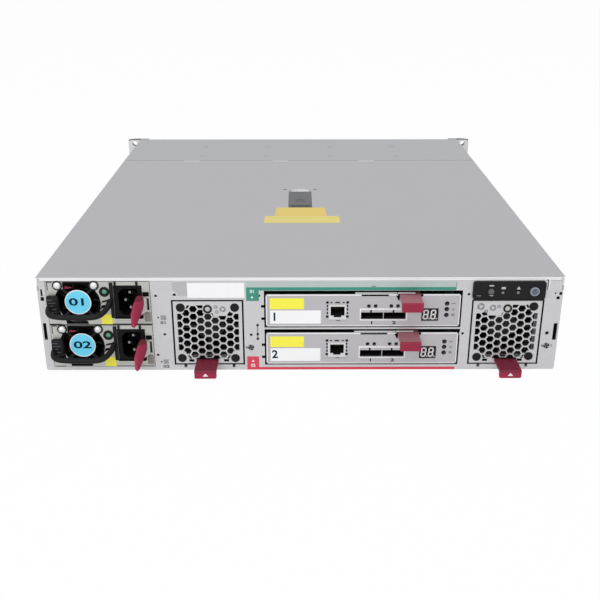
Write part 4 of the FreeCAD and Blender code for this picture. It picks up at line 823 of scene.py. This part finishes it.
def face_blocks(name, outlines, low, near, far, bevel, material, body):
    """Bars on a module's face, each given by its left, bottom, right and top."""
    return blocks(name, [((x0, near, low + z0), (x1, far, low + z1)) for x0, z0, x1, z1 in outlines],
                  bevel, material, body)


for number, letter, low in (("1", "a", 42.0), ("2", "b", 6.0)):
    body = "io_" + letter
    # A thin strip just inside the face's top edge is painted near black as painted shade in the gap above it.
    dress(finish("port face paint " + letter, (186, 184, 188), 0.45, 0.2, stretch=(0.3, 1.0, 1.0), grain=0.05,
                 blotch=0.1, regions=[((-31.0, REAR + 0.3, low + 29.9), (138.0, REAR + 3.0, low + 30.1),
                                       (30, 30, 32), 0.7, 0.0)]), body + "_tray")
    dress(finish("module board " + letter, (30, 84, 58), 0.45, 0.0, scale=900.0, grain=0.25, regions=[
        ((22.0, -270.0, low + 6.05), (41.0, -268.5, low + 25.0), (214, 214, 216), 0.4, 0.3),
        ((22.0, -268.5, low + 6.05), (41.0, -247.0, low + 25.0), (8, 8, 9), 0.8, 0.0),
        ((50.0, -270.0, low + 6.05), (93.0, -240.0, low + 20.0), (16, 15, 15), 0.6, 0.2),
        ((103.0, -270.0, low + 6.05), (120.0, -260.0, low + 18.0), (4, 3, 4), 0.9, 0.0),
        ((10.0, -120.0, low + 6.05), (66.0, -65.0, low + 21.0), (150, 152, 156), 0.4, 0.8),
        ((-30.0, 110.0, low + 6.05), (138.0, 136.0, low + 18.0), (24, 24, 26), 0.5, 0.0)]), body + "_board")
    dress(lever_burgundy_highlit, body + "_lever")
    film(body + "_yellow_label", [box_outline(-26.5, low + 16.2, 2.8, low + 26.4)], bright_yellow, body)
    film(body + "_white_label", [box_outline(-26.3, low + 2.6, 17.3, low + 15.0)], white_film, body)

    # Network port: a shield frame with spring fingers round the mouth, and eight contacts inside. The dark
    # marks round the mouth are painted shade in the shield's holes.
    face_blocks(body + "_network_shield", SHIELD_TABS, low, REAR - 0.25, REAR, 0.1, dark_gap, body)
    contacts = [31.75 + (k - 3.5) * 1.02 for k in range(8)]
    face_blocks(body + "_network_contacts", [(x - 0.2, 15.4, x + 0.2, 16.0) for x in contacts], low,
                REAR + 4.0, REAR + 14.0, 0.0, contact_gold, body)

    # Drive ports: one pressed rim round both mouths, with a key notch over each. A thin near-white
    # frame stands round the edge of the face: a painted highlight on the face's rounded edge.
    face_blocks(body + "_port_rim", PORT_RIM, low, REAR - 0.4, REAR + 0.05, 0.2, bright_rim_and_highlight, body)
    face_blocks(body + "_edge_highlight", EDGE_HIGHLIGHT, low, REAR - 0.25, REAR + 0.05, 0.12, bright_rim_and_highlight, body)
    film(body + "_port_keys", [box_outline(x - 0.7, low + 12.9, x + 0.7, low + 15.2) for x in (60.5, 79.8)],
         port_black, body, thick=0.06)
    for port, x in (("1", 61.4), ("2", 80.6)):
        numeral(body + "_port_number_" + port, port, x, low + 3.2, 2.8, port_black, body,
                width=1.7)

    # Lights: lenses set back in their holes, with a printed sign beside each status light.
    bm = bmesh.new()
    for x, z, radius in [(STATUS_X, z, 1.5) for z in STATUS_ROWS] + [(x, LINK_Z, 1.25) for x in LINK_LIGHTS]:
        spun(bm, x, low + z, [(0.0, REAR + 0.2), (radius * 0.7, REAR + 0.35), (radius, REAR + 0.9),
                              (radius, REAR + 3.0)])
    piece(body + "_lights", bm, segment_dim, body)
    bm = bmesh.new()
    for z in STATUS_ROWS:
        ring(bm, STATUS_X, low + z, 1.55, 2.0, REAR - 0.15, REAR + 0.1)
    for x in LINK_LIGHTS:
        ring(bm, x, low + LINK_Z, 1.3, 1.6, REAR - 0.15, REAR + 0.1)
    piece(body + "_light_rims", bm, dark_gap, body)
    film(body + "_light_marks", moved(STATUS_SIGNS, 0.0, low), mark_ink, body)

    # The display's two digits and their points, printed white on its black window.
    digits = []
    for x in DIGITS:
        for shape, across, up in SEGMENTS:
            digits += moved([shape], x + across * DIGIT_WIDE + up * DIGIT_LEAN, low + 10.8 + up * DIGIT_HALF)
        digits.append(box_outline(x + 2.5, low + 6.4, x + 3.5, low + 7.4))
    film(body + "_digits", digits, segment_white, body, y=REAR + 0.3)
    film(body + "_top_slot", [box_outline(52.0, low + 28.3, 75.2, low + 29.7)], dark_gap, body,
         thick=0.3)
    film(body + "_lever_slots", moved(LEVER_SLOTS, 0.0, low), dark_gap, body, thick=0.06)
    face_blocks(body + "_top_flap", [(46.5, 30.0, 82.4, 31.3)], low, REAR + 0.4, REAR + 1.4, 0.2, plated,
                body)
    face_blocks(body + "_lever_plate", [(82.8, 30.0, 98.0, 31.3)], low, REAR + 0.4, REAR + 1.4, 0.2, plated,
                body + "_lever")
    numeral(body + "_label_number", number, -22.6, low + 8.8, 7.4, label_ink, body,
            y=REAR - PRINT)

# The button panel is a moulded black plate with a power button, a locate button and two lights.
# Its marks are plain printed signs.
PANEL_Y = -271.0
BUTTON_Y = -272.2
BUTTON_X = 198.8
dress(finish("panel plastic", (28, 28, 29), 0.45, scale=900.0, grain=0.1, bump=0.1, gloss=0.15),
      "power_panel")
dress(finish("power button plastic", (96, 106, 124), 0.25, coat=0.4), "power_button")
dress(finish("locate button plastic", (92, 93, 97), 0.4), "locate_button")
turned("panel_lights", [(x, 73.9) for x in (172.0, 185.0)],
       [(0.0, PANEL_Y - 0.35), (0.8, PANEL_Y - 0.25), (1.2, PANEL_Y)],
       finish("panel light", (122, 122, 124), 0.4), "chassis")
film("panel_marks", [box_outline(160.0, 79.8, 163.8, 81.0), box_outline(170.5, 77.2, 173.9, 79.2),
                     [(183.4, 77.0), (186.8, 77.0), (185.1, 79.8)], box_outline(150.0, 71.0, 153.6, 71.3),
                     [(160.4, 71.8), (161.2, 71.0), (163.4, 70.9), (164.2, 71.8), (163.2, 71.5),
                      (161.4, 71.5)]],
     finish("panel ink", (190, 190, 192), 0.5), "chassis", y=PANEL_Y)
bm = bmesh.new()
ring(bm, BUTTON_X, 75.3, 3.2, 3.9, BUTTON_Y - 0.25, BUTTON_Y)
piece("power_button_rim", bm, finish("button rim", (150, 162, 180), 0.25, coat=0.3), "power_button")
bm = bmesh.new()
ring(bm, BUTTON_X, 75.0, 1.25, 1.65, BUTTON_Y - 0.1, BUTTON_Y)
block(bm, (198.6, BUTTON_Y - 0.14, 75.4), (199.0, BUTTON_Y, 77.2))
piece("power_button_mark", bm, finish("button mark", (52, 60, 78), 0.4), "power_button")

# Twenty-five drives stand in the front, each in a carrier with a vented bezel, an ejector lever and
# a burgundy release button. Two small lights sit at the top of each bezel.
PITCH = 16.9
FRONT = 285.0
DRIVES = range(1, 26)
dress(finish("drive and carrier", (52, 53, 57), 0.45, scale=900.0, grain=0.1, bump=0.1, pitch=PITCH, regions=[
    ((-7.6, 150.0, 4.0), (7.6, 262.9, 84.0), (176, 177, 180), 0.35, 0.7),
    ((-6.25, 280.9, 21.4), (6.25, 286.0, 60.5), (176, 177, 181), 0.35, 0.6),
    ((-6.25, 280.9, 9.7), (6.25, 286.0, 21.1), (132, 34, 62), 0.4, 0.0)]),
      *["drive_%02d" % number for number in DRIVES])
drive_light = finish("drive light", (96, 150, 120), 0.25, coat=0.4)
drive_ink = finish("drive label", (222, 222, 224), 0.5)
for number in DRIVES:
    x = PITCH * (number - 13)
    body = "drive_%02d" % number
    turned(body + "_lights", [(x + dx, 82.0) for dx in (-2.4, 2.4)],
           [(0.0, FRONT + 0.25), (0.6, FRONT + 0.2), (0.95, FRONT - 0.05)], drive_light, body)
    film(body + "_label", [box_outline(x - 4.2, 28.0, x + 4.2, 42.0)], drive_ink, body,
         y=FRONT - 0.25, thick=0.15)
